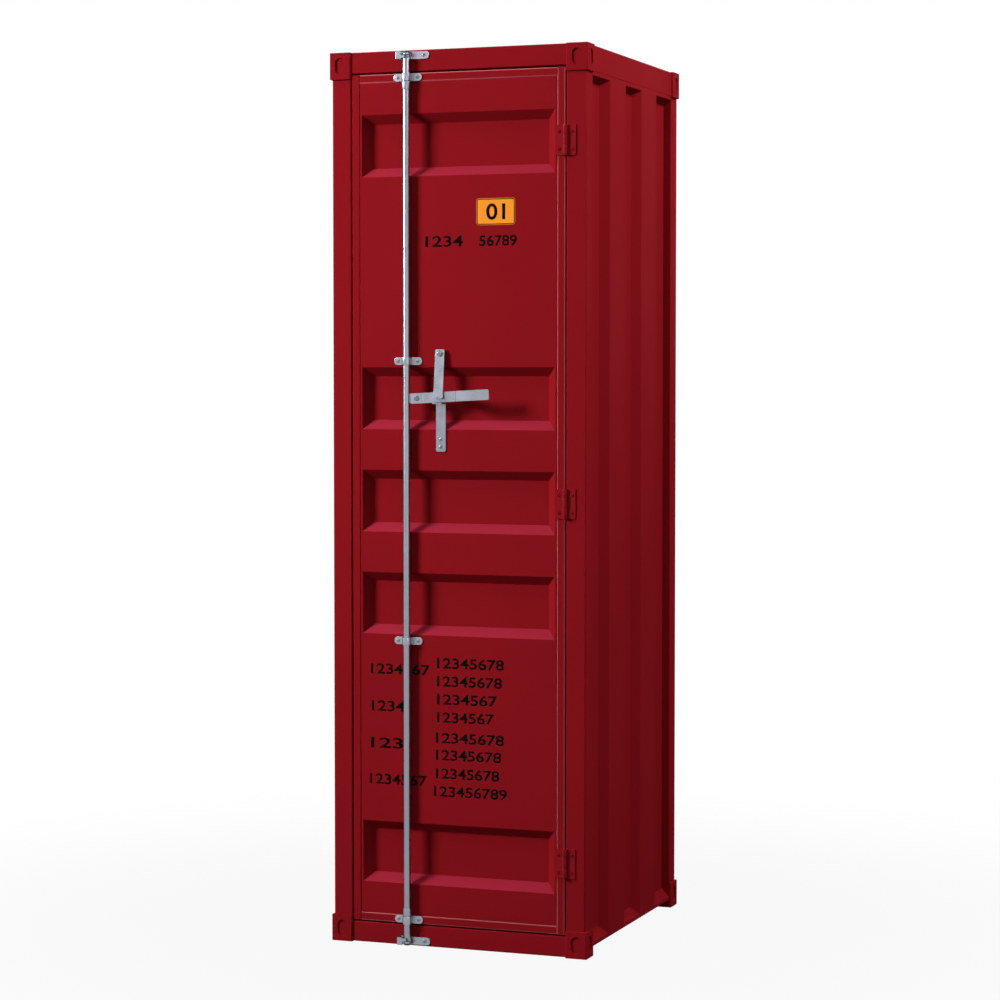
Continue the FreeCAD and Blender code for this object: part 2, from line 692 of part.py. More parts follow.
def hinges():
    """Make three butt hinges on the frame and the door, with their pins."""
    pins = []
    y = "face_y - hinge_offset"
    for name, z in (("top", " + far_pitch"), ("middle", ""), ("bottom", " - far_pitch")):
        low = "door_middle%s - hinge_height / 2" % z
        knuckle = "door_middle%s - knuckle_height / 2" % z
        pin_hole = ("hinge_x", y, low, "pin_radius + pin_fit", "hinge_height")
        room = "barrel_radius + knuckle_gap"
        plate = block("hinge_x", "face_y - strap", low, "hinge_leaf", "strap", "hinge_height")
        barrel = bar("hinge_x", y, low, "barrel_radius", "hinge_height")
        clear = bar("hinge_x", y, knuckle + " - knuckle_gap", room, "knuckle_height + 2 * knuckle_gap")
        keep(cut(fuse([plate, barrel]), [clear, bar(*pin_hole)]), "hinge_frame_leaf_" + name)
        plate = block("hinge_x - hinge_leaf", "face_y - strap", low, "hinge_leaf", "strap", "hinge_height")
        barrel = bar("hinge_x", y, knuckle, "barrel_radius", "knuckle_height")
        over = "(hinge_height - knuckle_height) / 2"
        ends = [bar("hinge_x", y, low, room, over),
                bar("hinge_x", y, knuckle + " + knuckle_height", room, over)]
        leaf = fuse([cut(plate, ends), barrel])
        keep(cut(leaf, [bar(*pin_hole)]), "hinge_door_leaf_" + name)
        pins.append(bar("hinge_x", y, low, "pin_radius", "hinge_height"))
    group(pins, "hinge_pins")


# Lock gear

def rod_brackets():
    """Make the four saddles that hold the lock rod on the door."""
    heights = {
        "top": "door_high - stile_width / 2",
        "upper": "door_middle + bracket_pitch",
        "lower": "door_middle - bracket_pitch",
        "bottom": "door_low + stile_width / 2",
    }
    for name, z in heights.items():
        body = new_body("rod_bracket_" + name)
        sketch = sketch_on(body, "XY_Plane")
        ear = "bracket_length / 2"
        hump = "bracket_bore + strap"
        top = "-(rod_offset + bracket_bore + strap)"
        outline(sketch, [
            ("-" + ear, "0"), (ear, "0"), (ear, "-strap"), (hump, "-strap"),
            (hump, top), ("-(%s)" % hump, top), ("-(%s)" % hump, "-strap"), ("-" + ear, "-strap"),
        ])
        solid = pad(body, sketch, "bracket_height", middle=True)
        doc.recompute()
        shoulder = number(top)
        crown = straight_edges(solid.Shape, "z", lambda point: abs(point.y - shoulder) < NEAR)
        rounded = fillet(body, solid, crown, "bracket_bore + strap - rod_clear")
        doc.recompute()
        fillet(body, rounded, corner_edges(rounded.Shape, "y"), "bracket_round")
        way = sketch_on(body, "XY_Plane")
        circle(way, "0", "-rod_offset", "bracket_bore")
        pocket(body, way)
        legs = sketch_on(body, "XY_Plane")
        rectangle(legs, "-bracket_bore", "bracket_bore", "-rod_offset", "0")
        pocket(body, legs)
        put(body, "rod_x", "face_y", z)
    return list(heights.values())


def lock_rod():
    """Make the lock rod with its notched ends, its caps, collars and hub lug."""
    low = "rod_end + cap_height"
    rod = bar("rod_x", "rod_y", low, "rod_radius", "height - 2 * (%s)" % low)
    notches = []
    caps = []
    for level, middle, cap_z in (
            ("top", "height - keeper_rise - finger_height", "height - rod_end - cap_height"),
            ("bottom", "keeper_rise", "rod_end")):
        notches.append(block("rod_x - rod_radius", "rod_y - rod_radius", middle + " - finger_clear",
                             "2 * rod_radius", "rod_radius", "finger_height + 2 * finger_clear"))
        caps.append(bar("rod_x", "rod_y", cap_z, "rod_radius", "cap_height"))
    keep(cut(rod, notches), "lock_rod")
    group(caps, "rod_end_caps")
    reach = "(bracket_height / 2 + collar_gap)"
    collars = []
    for z in ("door_high - stile_width / 2 - %s - collar_height" % reach, "door_low + stile_width / 2 + %s" % reach):
        ring = bar("rod_x", "rod_y", z, "collar_radius", "collar_height")
        bore = bar("rod_x", "rod_y", z, "rod_radius", "collar_height")
        collars.append(cut(ring, [bore]))
    group(collars, "rod_collars")
    plate = block("rod_x", "face_y - lug_front", "handle_z - lug_height / 2",
                  "pivot_across", "lug_sheet", "lug_height")
    tip = bar("pivot_x", "face_y - lug_front + lug_sheet", "handle_z", "lug_height / 2", "lug_sheet", "forward")
    tools = [
        bar("rod_x", "rod_y", "handle_z - lug_height", "rod_radius", "2 * lug_height"),
        bar("pivot_x", "face_y - lug_front + lug_sheet", "handle_z", "rivet_radius + pin_fit", "lug_sheet", "forward"),
    ]
    keep(cut(fuse([plate, tip]), tools), "handle_hub")


def handle():
    """Make the bent handle bar and the rivet that it turns on."""
    body = new_body("handle")
    sketch = sketch_on(body, "XY_Plane")
    flats = [
        ("-handle_tail", "first_bend", "handle_front"),
        ("first_bend + first_run", "second_bend", "handle_front - first_step"),
        ("second_bend + second_run", "handle_length", "grip_reach"),
    ]
    outline(sketch, [(x, "-(%s)" % out) for x, out in bent_sheet(flats, "handle_sheet")])
    solid = pad(body, sketch, "handle_height", middle=True)
    doc.recompute()
    ends = (-number("handle_tail"), number("handle_length"))
    tips = straight_edges(solid.Shape, "y", lambda point: min(abs(point.x - end) for end in ends) < NEAR)
    fillet(body, solid, tips, "handle_round")
    hole = sketch_on(body, "XZ_Plane")
    circle(hole, "0", "0", "rivet_radius")
    pocket(body, hole)
    body.Placement = FreeCAD.Placement(FreeCAD.Vector(), FreeCAD.Rotation(FreeCAD.Vector(0, -1, 0), 1))
    bind(body, ".Placement.Rotation.Angle", "handle_tilt * 1 deg")
    put(body, "pivot_x", "face_y", "handle_z")
    tail = "lug_front - lug_sheet - handle_gap"
    shank = bar("pivot_x", "face_y - (%s)" % tail, "handle_z", "rivet_radius",
                "handle_front - (%s)" % tail, "forward")
    front = bar("pivot_x", "face_y - handle_front", "handle_z", "rivet_head", "rivet_cap", "forward")
    back = bar("pivot_x", "face_y - (%s) + rivet_cap" % tail, "handle_z", "rivet_head", "rivet_cap", "forward")
    keep(fuse([shank, front, back]), "handle_rivet")


def catch():
    """Make the leaning catch that hangs in front of the handle, and its rivet."""
    body = new_body("handle_catch")
    sketch = sketch_on(body, "YZ_Plane")
    fall = "catch_rise + catch_lap"
    top_near = "catch_near - catch_top * catch_lean"
    corner = "catch_far - strap * catch_lean + strap"
    outline(sketch, [
        ("-(%s)" % top_near, "catch_top"), ("-catch_far", "-(%s)" % fall), ("-catch_reach", "-(%s)" % fall),
        ("-catch_reach", "strap - (%s)" % fall), ("-(%s)" % corner, "strap - (%s)" % fall),
        ("-(%s + strap)" % top_near, "catch_top"),
    ])
    solid = pad(body, sketch, "catch_width", middle=True)
    doc.recompute()
    top = number("catch_top")
    crown = straight_edges(solid.Shape, "y", lambda point: abs(point.z - top) < NEAR)
    rounded = fillet(body, solid, crown, "catch_round")
    doc.recompute()
    reach = number("catch_reach")
    toes = straight_edges(rounded.Shape, "z", lambda point: abs(point.y + reach) < NEAR)
    fillet(body, rounded, toes, "catch_round")
    pivot = sketch_on(body, "XZ_Plane")
    circle(pivot, "0", "0", "rivet_radius + pin_fit")
    pocket(body, pivot)
    lock = sketch_on(body, "XY_Plane", z="-(%s)" % fall)
    circle(lock, "0", "-lock_hole_offset", "lock_hole")
    pocket(body, lock, "2 * strap", back=True)
    put(body, "strap_x", "face_y", "catch_z")
    lean_room = "rivet_head * catch_lean"
    head_y = "catch_near + strap + 2 * (%s)" % lean_room
    boss = bar("strap_x", "face_y", "catch_z", "boss_radius", "catch_near - boss_gap", "forward")
    shank = bar("strap_x", "face_y", "catch_z", "rivet_radius", head_y, "forward")
    head = bar("strap_x", "face_y - (%s)" % head_y, "catch_z", "rivet_head", "rivet_cap", "forward")
    keep(fuse([boss, shank, head]), "catch_rivet")


def retainer():
    """Make the strap whose ledge carries the handle."""
    body = new_body("handle_retainer")
    sketch = sketch_on(body, "YZ_Plane")
    outline(sketch, [
        ("0", "0"), ("0", "-retainer_drop"), ("-strap", "-retainer_drop"), ("-strap", "-strap"),
        ("-retainer_reach", "-strap"), ("-retainer_reach", "0"),
    ])
    solid = pad(body, sketch, "retainer_width", middle=True)
    doc.recompute()
    reach = number("retainer_reach")
    drop = number("retainer_drop")
    toes = straight_edges(solid.Shape, "z", lambda point: abs(point.y + reach) < NEAR)
    toes += straight_edges(solid.Shape, "y", lambda point: abs(point.z + drop) < NEAR)
    fillet(body, solid, toes, "catch_round")
    lock = sketch_on(body, "XY_Plane")
    circle(lock, "0", "-lock_hole_offset", "lock_hole")
    pocket(body, lock, "2 * strap")
    put(body, "strap_x", "face_y", "ledge_top")


def keepers():
    """Make the hooks on the header and sill that hold the ends of the lock rod."""
    for level, z, finger in (("top", "height - keeper_rise", "-finger_height"), ("bottom", "keeper_rise", "0")):
        body = new_body("rod_keeper_" + level)
        plate = sketch_on(body, "XY_Plane")
        inner = "-(keeper_left - strap)"
        outline(plate, [
            ("keeper_right", "0"), ("-keeper_left", "0"), ("-keeper_left", "-keeper_reach"),
            ("keeper_tab - keeper_left", "-keeper_reach"), ("keeper_tab - keeper_left", "strap - keeper_reach"),
            (inner, "strap - keeper_reach"), (inner, "-strap"), ("keeper_right", "-strap"),
        ])
        solid = pad(body, plate, "keeper_height", middle=True)
        doc.recompute()
        far = number("keeper_right")
        tips = straight_edges(solid.Shape, "y", lambda point: abs(point.x - far) < NEAR)
        fillet(body, solid, tips, "keeper_round")
        hook = sketch_on(body, "XY_Plane", z=finger)
        rectangle(hook, "keeper_tab - keeper_left - strap", "-finger_clear", "-keeper_reach",
                  "-(rod_offset + finger_clear)")
        pad(body, hook, "finger_height")
        put(body, "rod_x", "face_y", z)


def screws(bracket_heights):
    """Make the screws of the hinges and of the lock gear, on the frame and on the door."""
    hinge_heights = ["door_middle" + shift + step
                     for shift in (" + far_pitch", "", " - far_pitch")
                     for step in (" - hinge_screw_pitch / 2", " + hinge_screw_pitch / 2")]
    for label, x in (("hinge_screws_frame", "hinge_x + hinge_screw"), ("hinge_screws_door", "hinge_x - hinge_screw")):
        group([screw(x, z) for z in hinge_heights], label)
    group([screw("rod_x + " + x, z)
           for z in ("height - keeper_rise", "keeper_rise")
           for x in ("keeper_screw_near", "keeper_screw_far")], "keeper_screws")
    on_gear = [screw("rod_x" + x, z) for z in bracket_heights for x in (" - bracket_screw", " + bracket_screw")]
    on_gear += [screw("strap_x", "retainer_low + retainer_screw" + step) for step in ("", " + retainer_pitch")]
    group(on_gear, "lock_gear_screws")


def check_and_export():
    """Stop on any feature that failed, then write each sub-part to its own file."""
    doc.recompute()
    for thing in doc.Objects:
        if "Invalid" in thing.State or "Error" in thing.State:
            raise RuntimeError("%s failed: %s" % (thing.Label, thing.State))
    os.makedirs("parts", exist_ok=True)
    for piece in pieces:
        if piece.Shape.isNull() or not piece.Shape.isValid():
            raise RuntimeError("%s has no valid shape" % piece.Label)
        piece.Shape.exportStep("parts/%s.step" % piece.Label)


frame()
walls()
inside()
door()
hinges()
saddle_heights = rod_brackets()
lock_rod()
handle()
catch()
retainer()
keepers()
screws(saddle_heights)
check_and_export()
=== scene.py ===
"""Looks of the steel wardrobe locker: finishes, fixings, markings, light and camera round the frame."""

import json
import logging
import math
from dataclasses import dataclass, field
from enum import Enum
from typing import Any, Callable

import bmesh
import bpy
from mathutils import Matrix, Vector

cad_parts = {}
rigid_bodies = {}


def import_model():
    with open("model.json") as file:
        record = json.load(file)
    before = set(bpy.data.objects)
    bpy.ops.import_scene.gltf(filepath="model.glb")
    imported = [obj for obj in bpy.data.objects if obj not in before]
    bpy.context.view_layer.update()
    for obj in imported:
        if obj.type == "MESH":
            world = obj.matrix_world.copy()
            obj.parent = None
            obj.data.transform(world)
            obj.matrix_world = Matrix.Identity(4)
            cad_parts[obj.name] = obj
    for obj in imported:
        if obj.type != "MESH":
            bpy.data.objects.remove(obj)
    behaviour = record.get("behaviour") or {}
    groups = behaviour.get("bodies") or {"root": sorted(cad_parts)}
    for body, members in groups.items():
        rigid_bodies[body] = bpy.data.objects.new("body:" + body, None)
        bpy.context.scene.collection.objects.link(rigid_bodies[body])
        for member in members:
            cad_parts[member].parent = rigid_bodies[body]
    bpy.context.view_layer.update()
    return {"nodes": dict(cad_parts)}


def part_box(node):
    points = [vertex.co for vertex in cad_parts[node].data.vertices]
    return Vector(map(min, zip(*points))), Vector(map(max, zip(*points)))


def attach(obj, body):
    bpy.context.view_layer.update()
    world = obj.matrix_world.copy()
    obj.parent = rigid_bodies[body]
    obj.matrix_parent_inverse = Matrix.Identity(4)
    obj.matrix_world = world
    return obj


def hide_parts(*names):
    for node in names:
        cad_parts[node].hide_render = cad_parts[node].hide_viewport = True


MM = 0.001
WHITE = (1.0, 1.0, 1.0, 1.0)
FACING_FRONT = Matrix.Rotation(math.pi / 2, 4, "X")
STEEP = 0.5  # a direction with more Z than this counts as upright
NOISE_SPAN = (0.3, 0.7)  # where the values of a noise texture mostly lie
log = logging.getLogger("locker")


class Slot(Enum):
    """The record's material slots."""

    RED = "red_paint"
    ZINC = "zinc_steel"
    CAP = "cap_plastic"
    ORANGE = "sign_orange"
    INK = "print_black"


class Body(Enum):
    """The moving bodies of the locker."""

    CABINET = "cabinet"
    DOOR = "door"
    ROD = "lock_rod"


class Brush(Enum):
    """The way a metal piece was brushed, as the lay of its scratches along X, Y and Z."""

    UPRIGHT = (1.0, 1.0, 0.03)
    LEVEL = (0.03, 1.0, 1.0)


class Pick(Enum):
    """What a selection in edit mode picks."""

    VERTS = "VERT"
    EDGES = "EDGE"
    FACES = "FACE"


def linear(hex_colour: str) -> tuple[float, float, float, float]:
    """Turn an sRGB hex colour into linear light.

    Args:
        hex_colour: Colour such as "#8a161d".

    Returns:
        Linear red, green, blue and an alpha of 1.
    """
    shares = [int(hex_colour[at:at + 2], 16) / 255 for at in (1, 3, 5)]
    light = [share / 12.92 if share <= 0.04045 else ((share + 0.055) / 1.055) ** 2.4 for share in shares]
    return (light[0], light[1], light[2], 1.0)


def per_metre(size_mm: float) -> float:
    """Return the texture scale at which one feature of a noise is size_mm wide."""
    return 1 / (size_mm * MM)


def add_node(
    tree: bpy.types.NodeTree,
    kind: str,
    values: dict[Any, Any] | None = None,
    links: dict[Any, Any] | None = None,
    **settings: Any,
) -> bpy.types.Node:
    """Add one node with its settings, socket values and links.

    Args:
        tree: Node tree that takes the node.
        kind: Node type, such as "ShaderNodeBump".
        values: Input socket name or number to value.
        links: Input socket name or number to the output socket that feeds it.
        **settings: Properties of the node itself.

    Returns:
        The new node.
    """
    node = tree.nodes.new(kind)
    for name, value in settings.items():
        setattr(node, name, value)
    for socket, value in (values or {}).items():
        node.inputs[socket].default_value = value
    for socket, source in (links or {}).items():
        tree.links.new(source, node.inputs[socket])
    return node


def drift_with(
    tree: bpy.types.NodeTree, noise: bpy.types.NodeSocket, middle: float, drift: float
) -> bpy.types.NodeSocket:
    """Add a number that drifts with a noise.

    Args:
        tree: Node tree that takes the node.
        noise: Output of the noise.
        middle: Middle of the number's range.
        drift: Width of the number's range.

    Returns:
        The output that holds the number.
    """
    low, high = NOISE_SPAN
    number = add_node(
        tree, "ShaderNodeMapRange",
        {"From Min": low, "From Max": high, "To Min": middle - drift / 2, "To Max": middle + drift / 2},
        {"Value": noise})
    return number.outputs["Result"]


def empty_material(name: str) -> tuple[bpy.types.Material, bpy.types.NodeTree]:
    """Make a material whose node tree is empty.

    Args:
        name: Name of the material.

    Returns:
        The material and its node tree.
    """
    material = bpy.data.materials.new(name)
    material.use_nodes = True
    material.node_tree.nodes.clear()
    return material, material.node_tree


@dataclass(frozen=True)
class PowderEnamel:
    """Polyester powder enamel baked on sheet steel.

    A coat of one deep colour with little shine: a faint orange peel, and a slow drift in colour and gloss
    where it came out thicker or thinner. Where an edge colour is set, for a piece whose flats all face along
    an axis, the edges are painted paler and made glossier: a painted highlight of the lamps on the rounded
    edges.
    Where a ledge colour is set, the faces that look upwards are painted paler: a painted sheen of the light
    from above.
    """

    name: str
    colour: str = "#93171f"
    thick_coat: str = "#8a151d"
    roughness: float = 0.46
    gloss_drift: float = 0.1
    specular: float = 0.0005
    ior: float = 1.5
    edge_highlight_colour: str | None = None
    edge_roughness: float = 0.28
    edge_turn: tuple[float, float] = (0.995, 0.95)  # largest part of the normal on a flat and on an edge
    ledge_sheen_colour: str | None = None
    ledge_rise: tuple[float, float] = (0.25, 0.45)  # Z of the normal where the painted sheen starts and where it is full
    drift_mm: float = 330.0
    peel_mm: float = 7.0  # real orange peel is about 2 mm, drawn this coarse so that it shows
    peel_depth_mm: float = 0.025

    def edge_share(self, tree: bpy.types.NodeTree, normal: bpy.types.NodeSocket) -> bpy.types.NodeSocket:
        """Add the nodes that find where a surface turns away from all three axes.

        Args:
            tree: Node tree that takes them.
            normal: The surface's normal in the piece's own frame.

        Returns:
            An output that is 0 on the flats and 1 round the edges.
        """
        size = add_node(tree, "ShaderNodeVectorMath", links={0: normal}, operation="ABSOLUTE")
        along = add_node(tree, "ShaderNodeSeparateXYZ", links={"Vector": size.outputs["Vector"]})
        level = add_node(
            tree, "ShaderNodeMath",
            links={0: along.outputs["X"], 1: along.outputs["Y"]}, operation="MAXIMUM")
        most = add_node(
            tree, "ShaderNodeMath",
            links={0: level.outputs["Value"], 1: along.outputs["Z"]}, operation="MAXIMUM")
        flat, edge = self.edge_turn
        share = add_node(
            tree, "ShaderNodeMapRange", {"From Min": flat, "From Max": edge},
            {"Value": most.outputs["Value"]})
        return share.outputs["Result"]

    def ledge_share(self, tree: bpy.types.NodeTree, normal: bpy.types.NodeSocket) -> bpy.types.NodeSocket:
        """Add the nodes that find where a surface faces upwards.

        Args:
            tree: Node tree that takes them.
            normal: The surface's normal in the piece's own frame.

        Returns:
            An output that is 1 on the ledges and 0 elsewhere.
        """
        along = add_node(tree, "ShaderNodeSeparateXYZ", links={"Vector": normal})
        bare, sheened = self.ledge_rise
        share = add_node(
            tree, "ShaderNodeMapRange", {"From Min": bare, "From Max": sheened}, {"Value": along.outputs["Z"]})
        return share.outputs["Result"]

    def make(self) -> bpy.types.Material:
        """Build the node tree and return the material."""
        material, tree = empty_material(self.name)
        coordinates = add_node(tree, "ShaderNodeTexCoord")
        place = coordinates.outputs["Object"]
        drift = add_node(
            tree, "ShaderNodeTexNoise", {"Scale": per_metre(self.drift_mm), "Detail": 3.0}, {"Vector": place})
        peel = add_node(
            tree, "ShaderNodeTexNoise", {"Scale": per_metre(self.peel_mm), "Detail": 2.0}, {"Vector": place})
        colour = add_node(
            tree, "ShaderNodeMix", {"A": linear(self.colour), "B": linear(self.thick_coat)},
            {"Factor": drift.outputs["Fac"]}, data_type="RGBA")
        peel_bump = add_node(
            tree, "ShaderNodeBump", {"Strength": 1.0, "Distance": self.peel_depth_mm * MM},
            {"Height": peel.outputs["Fac"]})
        shade = colour.outputs["Result"]
        roughness = drift_with(tree, drift.outputs["Fac"], self.roughness, self.gloss_drift)
        # Painted highlight: a paler colour round the edges stands in for the lamps' highlights on the rounded
        # edges.
        if self.edge_highlight_colour is not None:
            edge = self.edge_share(tree, coordinates.outputs["Normal"])
            paler_tone = add_node(
                tree, "ShaderNodeMix", {"B": linear(self.edge_highlight_colour)}, {"Factor": edge, "A": shade},
                data_type="RGBA")
            glossed = add_node(
                tree, "ShaderNodeMix", {"B": self.edge_roughness}, {"Factor": edge, "A": roughness})
            shade = paler_tone.outputs["Result"]
            roughness = glossed.outputs["Result"]
        # Painted sheen: a paler colour on the up-facing faces stands in for the light from above.
        if self.ledge_sheen_colour is not None:
            ledge = self.ledge_share(tree, coordinates.outputs["Normal"])
            sheened = add_node(
                tree, "ShaderNodeMix", {"B": linear(self.ledge_sheen_colour)}, {"Factor": ledge, "A": shade},
                data_type="RGBA")
            shade = sheened.outputs["Result"]
        coat = add_node(
            tree, "ShaderNodeBsdfPrincipled", {"Specular IOR Level": self.specular, "IOR": self.ior},
            {"Base Color": shade, "Roughness": roughness, "Normal": peel_bump.outputs["Normal"]})
        add_node(tree, "ShaderNodeOutputMaterial", links={"Surface": coat.outputs["BSDF"]})
        return material


@dataclass(frozen=True)
class ZincPlate:
    """Bright zinc plating on brushed steel.

    A grey, slightly blue metal: fine scratches along the brushing under the plating, a soft mottle of paler
    and darker zinc, and a blurred reflection.
    """

    name: str
    brush: Brush
    pale: str = "#9b9ea8"
    dark: str = "#9396a0"
    roughness: float = 0.3
    gloss_drift: float = 0.08
    blend_span: tuple[float, float] = (0.1, 0.42)  # scratches times mottle, at the darkest and the palest
    mottle_mm: float = 26.0
    scratch_mm: float = 2.4  # real scratches are about 0.2 mm apart, drawn this coarse so that they show
    scratch_depth_mm: float = 0.0015

    def make(self) -> bpy.types.Material:
        """Build the node tree and return the material."""
        material, tree = empty_material(self.name)
        place = add_node(tree, "ShaderNodeTexCoord").outputs["Object"]
        lay = add_node(tree, "ShaderNodeMapping", {"Scale": self.brush.value}, {"Vector": place})
        scratch = add_node(
            tree, "ShaderNodeTexNoise", {"Scale": per_metre(self.scratch_mm), "Detail": 4.0},
            {"Vector": lay.outputs["Vector"]})
        mottle = add_node(
            tree, "ShaderNodeTexNoise", {"Scale": per_metre(self.mottle_mm), "Detail": 3.0},
            {"Vector": place})
        blend = add_node(
            tree, "ShaderNodeMath",
            links={0: scratch.outputs["Fac"], 1: mottle.outputs["Fac"]}, operation="MULTIPLY")
        low, high = self.blend_span
        share = add_node(
            tree, "ShaderNodeMapRange", {"From Min": low, "From Max": high},
            {"Value": blend.outputs["Value"]})
        colour = add_node(
            tree, "ShaderNodeMix", {"A": linear(self.dark), "B": linear(self.pale)},
            {"Factor": share.outputs["Result"]}, data_type="RGBA")
        roughness = drift_with(tree, mottle.outputs["Fac"], self.roughness, self.gloss_drift)
        grooves = add_node(
            tree, "ShaderNodeBump", {"Strength": 1.0, "Distance": self.scratch_depth_mm * MM},
            {"Height": scratch.outputs["Fac"]})
        metal = add_node(
            tree, "ShaderNodeBsdfPrincipled", {"Metallic": 1.0},
            {"Base Color": colour.outputs["Result"], "Roughness": roughness,
             "Normal": grooves.outputs["Normal"]})
        add_node(tree, "ShaderNodeOutputMaterial", links={"Surface": metal.outputs["BSDF"]})
        return material


@dataclass(frozen=True)
class MouldedPlastic:
    """Injection moulded polyethylene: near black, dull, with the fine grain of a spark-eroded mould."""

    name: str
    colour: str
    paler_tone: str
    roughness: float = 0.52
    ior: float = 1.51
    grain_mm: float = 1.2  # real mould grain is about 0.3 mm, drawn this coarse so that it shows close up
    grain_depth_mm: float = 0.04
    grain_strength: float = 0.6

    def make(self) -> bpy.types.Material:
        """Build the node tree and return the material."""
        material, tree = empty_material(self.name)
        place = add_node(tree, "ShaderNodeTexCoord").outputs["Object"]
        grain = add_node(
            tree, "ShaderNodeTexNoise", {"Scale": per_metre(self.grain_mm), "Detail": 2.0}, {"Vector": place})
        colour = add_node(
            tree, "ShaderNodeMix", {"A": linear(self.colour), "B": linear(self.paler_tone)},
            {"Factor": grain.outputs["Fac"]}, data_type="RGBA")
        pits = add_node(
            tree, "ShaderNodeBump", {"Strength": self.grain_strength, "Distance": self.grain_depth_mm * MM},
            {"Height": grain.outputs["Fac"]})
        plastic = add_node(
            tree, "ShaderNodeBsdfPrincipled", {"IOR": self.ior, "Roughness": self.roughness},
            {"Base Color": colour.outputs["Result"], "Normal": pits.outputs["Normal"]})
        add_node(tree, "ShaderNodeOutputMaterial", links={"Surface": plastic.outputs["BSDF"]})
        return material


@dataclass(frozen=True)
class ScreenInk:
    """Screen printed ink: a matt film whose colour thins a little where the mesh left less of it."""

    name: str
    full: str
    thin: str
    roughness: float
    specular: float
    speckle_mm: float = 5.0  # real mesh marks are under 1 mm, drawn this coarse so that they show

    def make(self) -> bpy.types.Material:
        """Build the node tree and return the material."""
        material, tree = empty_material(self.name)
        place = add_node(tree, "ShaderNodeTexCoord").outputs["Object"]
        speckle = add_node(
            tree, "ShaderNodeTexNoise", {"Scale": per_metre(self.speckle_mm), "Detail": 3.0},
            {"Vector": place})
        colour = add_node(
            tree, "ShaderNodeMix", {"A": linear(self.full), "B": linear(self.thin)},
            {"Factor": speckle.outputs["Fac"]}, data_type="RGBA")
        ink = add_node(
            tree, "ShaderNodeBsdfPrincipled",
            {"Specular IOR Level": self.specular, "Roughness": self.roughness},
            {"Base Color": colour.outputs["Result"]})
        add_node(tree, "ShaderNodeOutputMaterial", links={"Surface": ink.outputs["BSDF"]})
        return material


RED_ENAMEL = PowderEnamel("red_powder_enamel")
# Painted highlight: the pale edge colour stands in for the lamps' highlights on the door bars' edges.
RED_EDGE_HIGHLIGHT = PowderEnamel("red_powder_enamel_painted_highlight_on_edges", edge_highlight_colour="#be6266")
# Painted sheen: the pale colour on the up-facing bevels stands in for the light from above.
RED_LEDGE_SHEEN = PowderEnamel("red_powder_enamel_painted_sheen_on_ledges", ledge_sheen_colour="#9c2537")
RED_GLOSSY = PowderEnamel("red_powder_enamel_worn_glossy", roughness=0.28, specular=0.04)
# Painted shade: the upright zinc is a darker copy of the same plating, so that the rod and catch, which the
# lamps light more, come out as dark as the level zinc.
ZINC_UPRIGHT_SHADED = ZincPlate("zinc_plated_steel_brushed_upright_shaded_darker", Brush.UPRIGHT, pale="#92959f", dark="#8a8d97")
ZINC_LEVEL = ZincPlate("zinc_plated_steel_brushed_level", Brush.LEVEL)
ZINC_FIXING = ZincPlate("dull_zinc_plated_fixings", Brush.LEVEL, pale="#7e8189", dark="#6c6f77")
BLACK_CAP = MouldedPlastic("black_moulded_polyethylene", "#121214", "#1e1e20")
ORANGE_SHEET = ScreenInk("orange_printed_sheet", "#ff9c22", "#fb951a", roughness=0.42, specular=0.2)
BLACK_INK = ScreenInk("black_screen_ink", "#0b0708", "#150c0d", roughness=0.6, specular=0.01)


class FinishSet:
    """The finishes of the locker, each made once."""

    def __init__(self) -> None:
        """Start with no finish made."""
        self.made: dict[str, bpy.types.Material] = {}

    def get(self, finish: Any) -> bpy.types.Material:
        """Return the material of a finish, made on its first use."""
        if finish.name not in self.made:
            self.made[finish.name] = finish.make()
            log.info("finish %s", finish.name)
        return self.made[finish.name]


def start_fresh() -> None:
    """Leave edit mode and deselect everything."""
    if bpy.context.mode != "OBJECT":
        bpy.ops.object.mode_set(mode="OBJECT")
    bpy.ops.object.select_all(action="DESELECT")


def make_active(piece: bpy.types.Object) -> None:
    """Select one object alone and make it the active one."""
    start_fresh()
    piece.select_set(True)
    bpy.context.view_layer.objects.active = piece


def pick(piece: bpy.types.Object, what: Pick, test: Callable[[Vector, Vector], bool]) -> None:
    """Select the elements of a mesh in edit mode that pass a test.

    Args:
        piece: Object in edit mode.
        what: Kind of element to select.
        test: Takes an element's middle and its normal, or its direction for an edge.
    """
    bpy.ops.mesh.select_mode(type=what.value)
    bpy.ops.mesh.select_all(action="DESELECT")
    mesh = bmesh.from_edit_mesh(piece.data)
    if what is Pick.VERTS:
        for vert in mesh.verts:
            vert.select = test(vert.co, vert.normal)
    if what is Pick.EDGES:
        for edge in mesh.edges:
            start, end = (vert.co for vert in edge.verts)
            edge.select = test((start + end) / 2, (end - start).normalized())
    if what is Pick.FACES:
        for face in mesh.faces:
            face.select = test(face.calc_center_median(), face.normal)
    mesh.select_flush_mode()
    bmesh.update_edit_mesh(piece.data)


def apply_modifier(piece: bpy.types.Object, kind: str, **settings: Any) -> None:
    """Add a modifier with its settings and apply it.

    Args:
        piece: Object that takes the modifier.
        kind: Modifier type, such as "BOOLEAN".
        **settings: Properties of the modifier.
    """
    make_active(piece)
    modifier = piece.modifiers.new(kind.lower(), kind)
    for name, value in settings.items():
        setattr(modifier, name, value)
    bpy.ops.object.modifier_apply(modifier=modifier.name)


def copy_piece(piece: bpy.types.Object, name: str, place: Matrix) -> bpy.types.Object:
    """Copy a modelled piece to a place.

    Args:
        piece: Object to copy.
        name: Name of the copy.
        place: Turn and shift that go into the copy's own mesh.

    Returns:
        The copy, at the origin and with a mesh of its own.
    """
    copy = bpy.data.objects.new(name, piece.data.copy())
    copy.data.transform(place)
    bpy.context.scene.collection.objects.link(copy)
    return copy


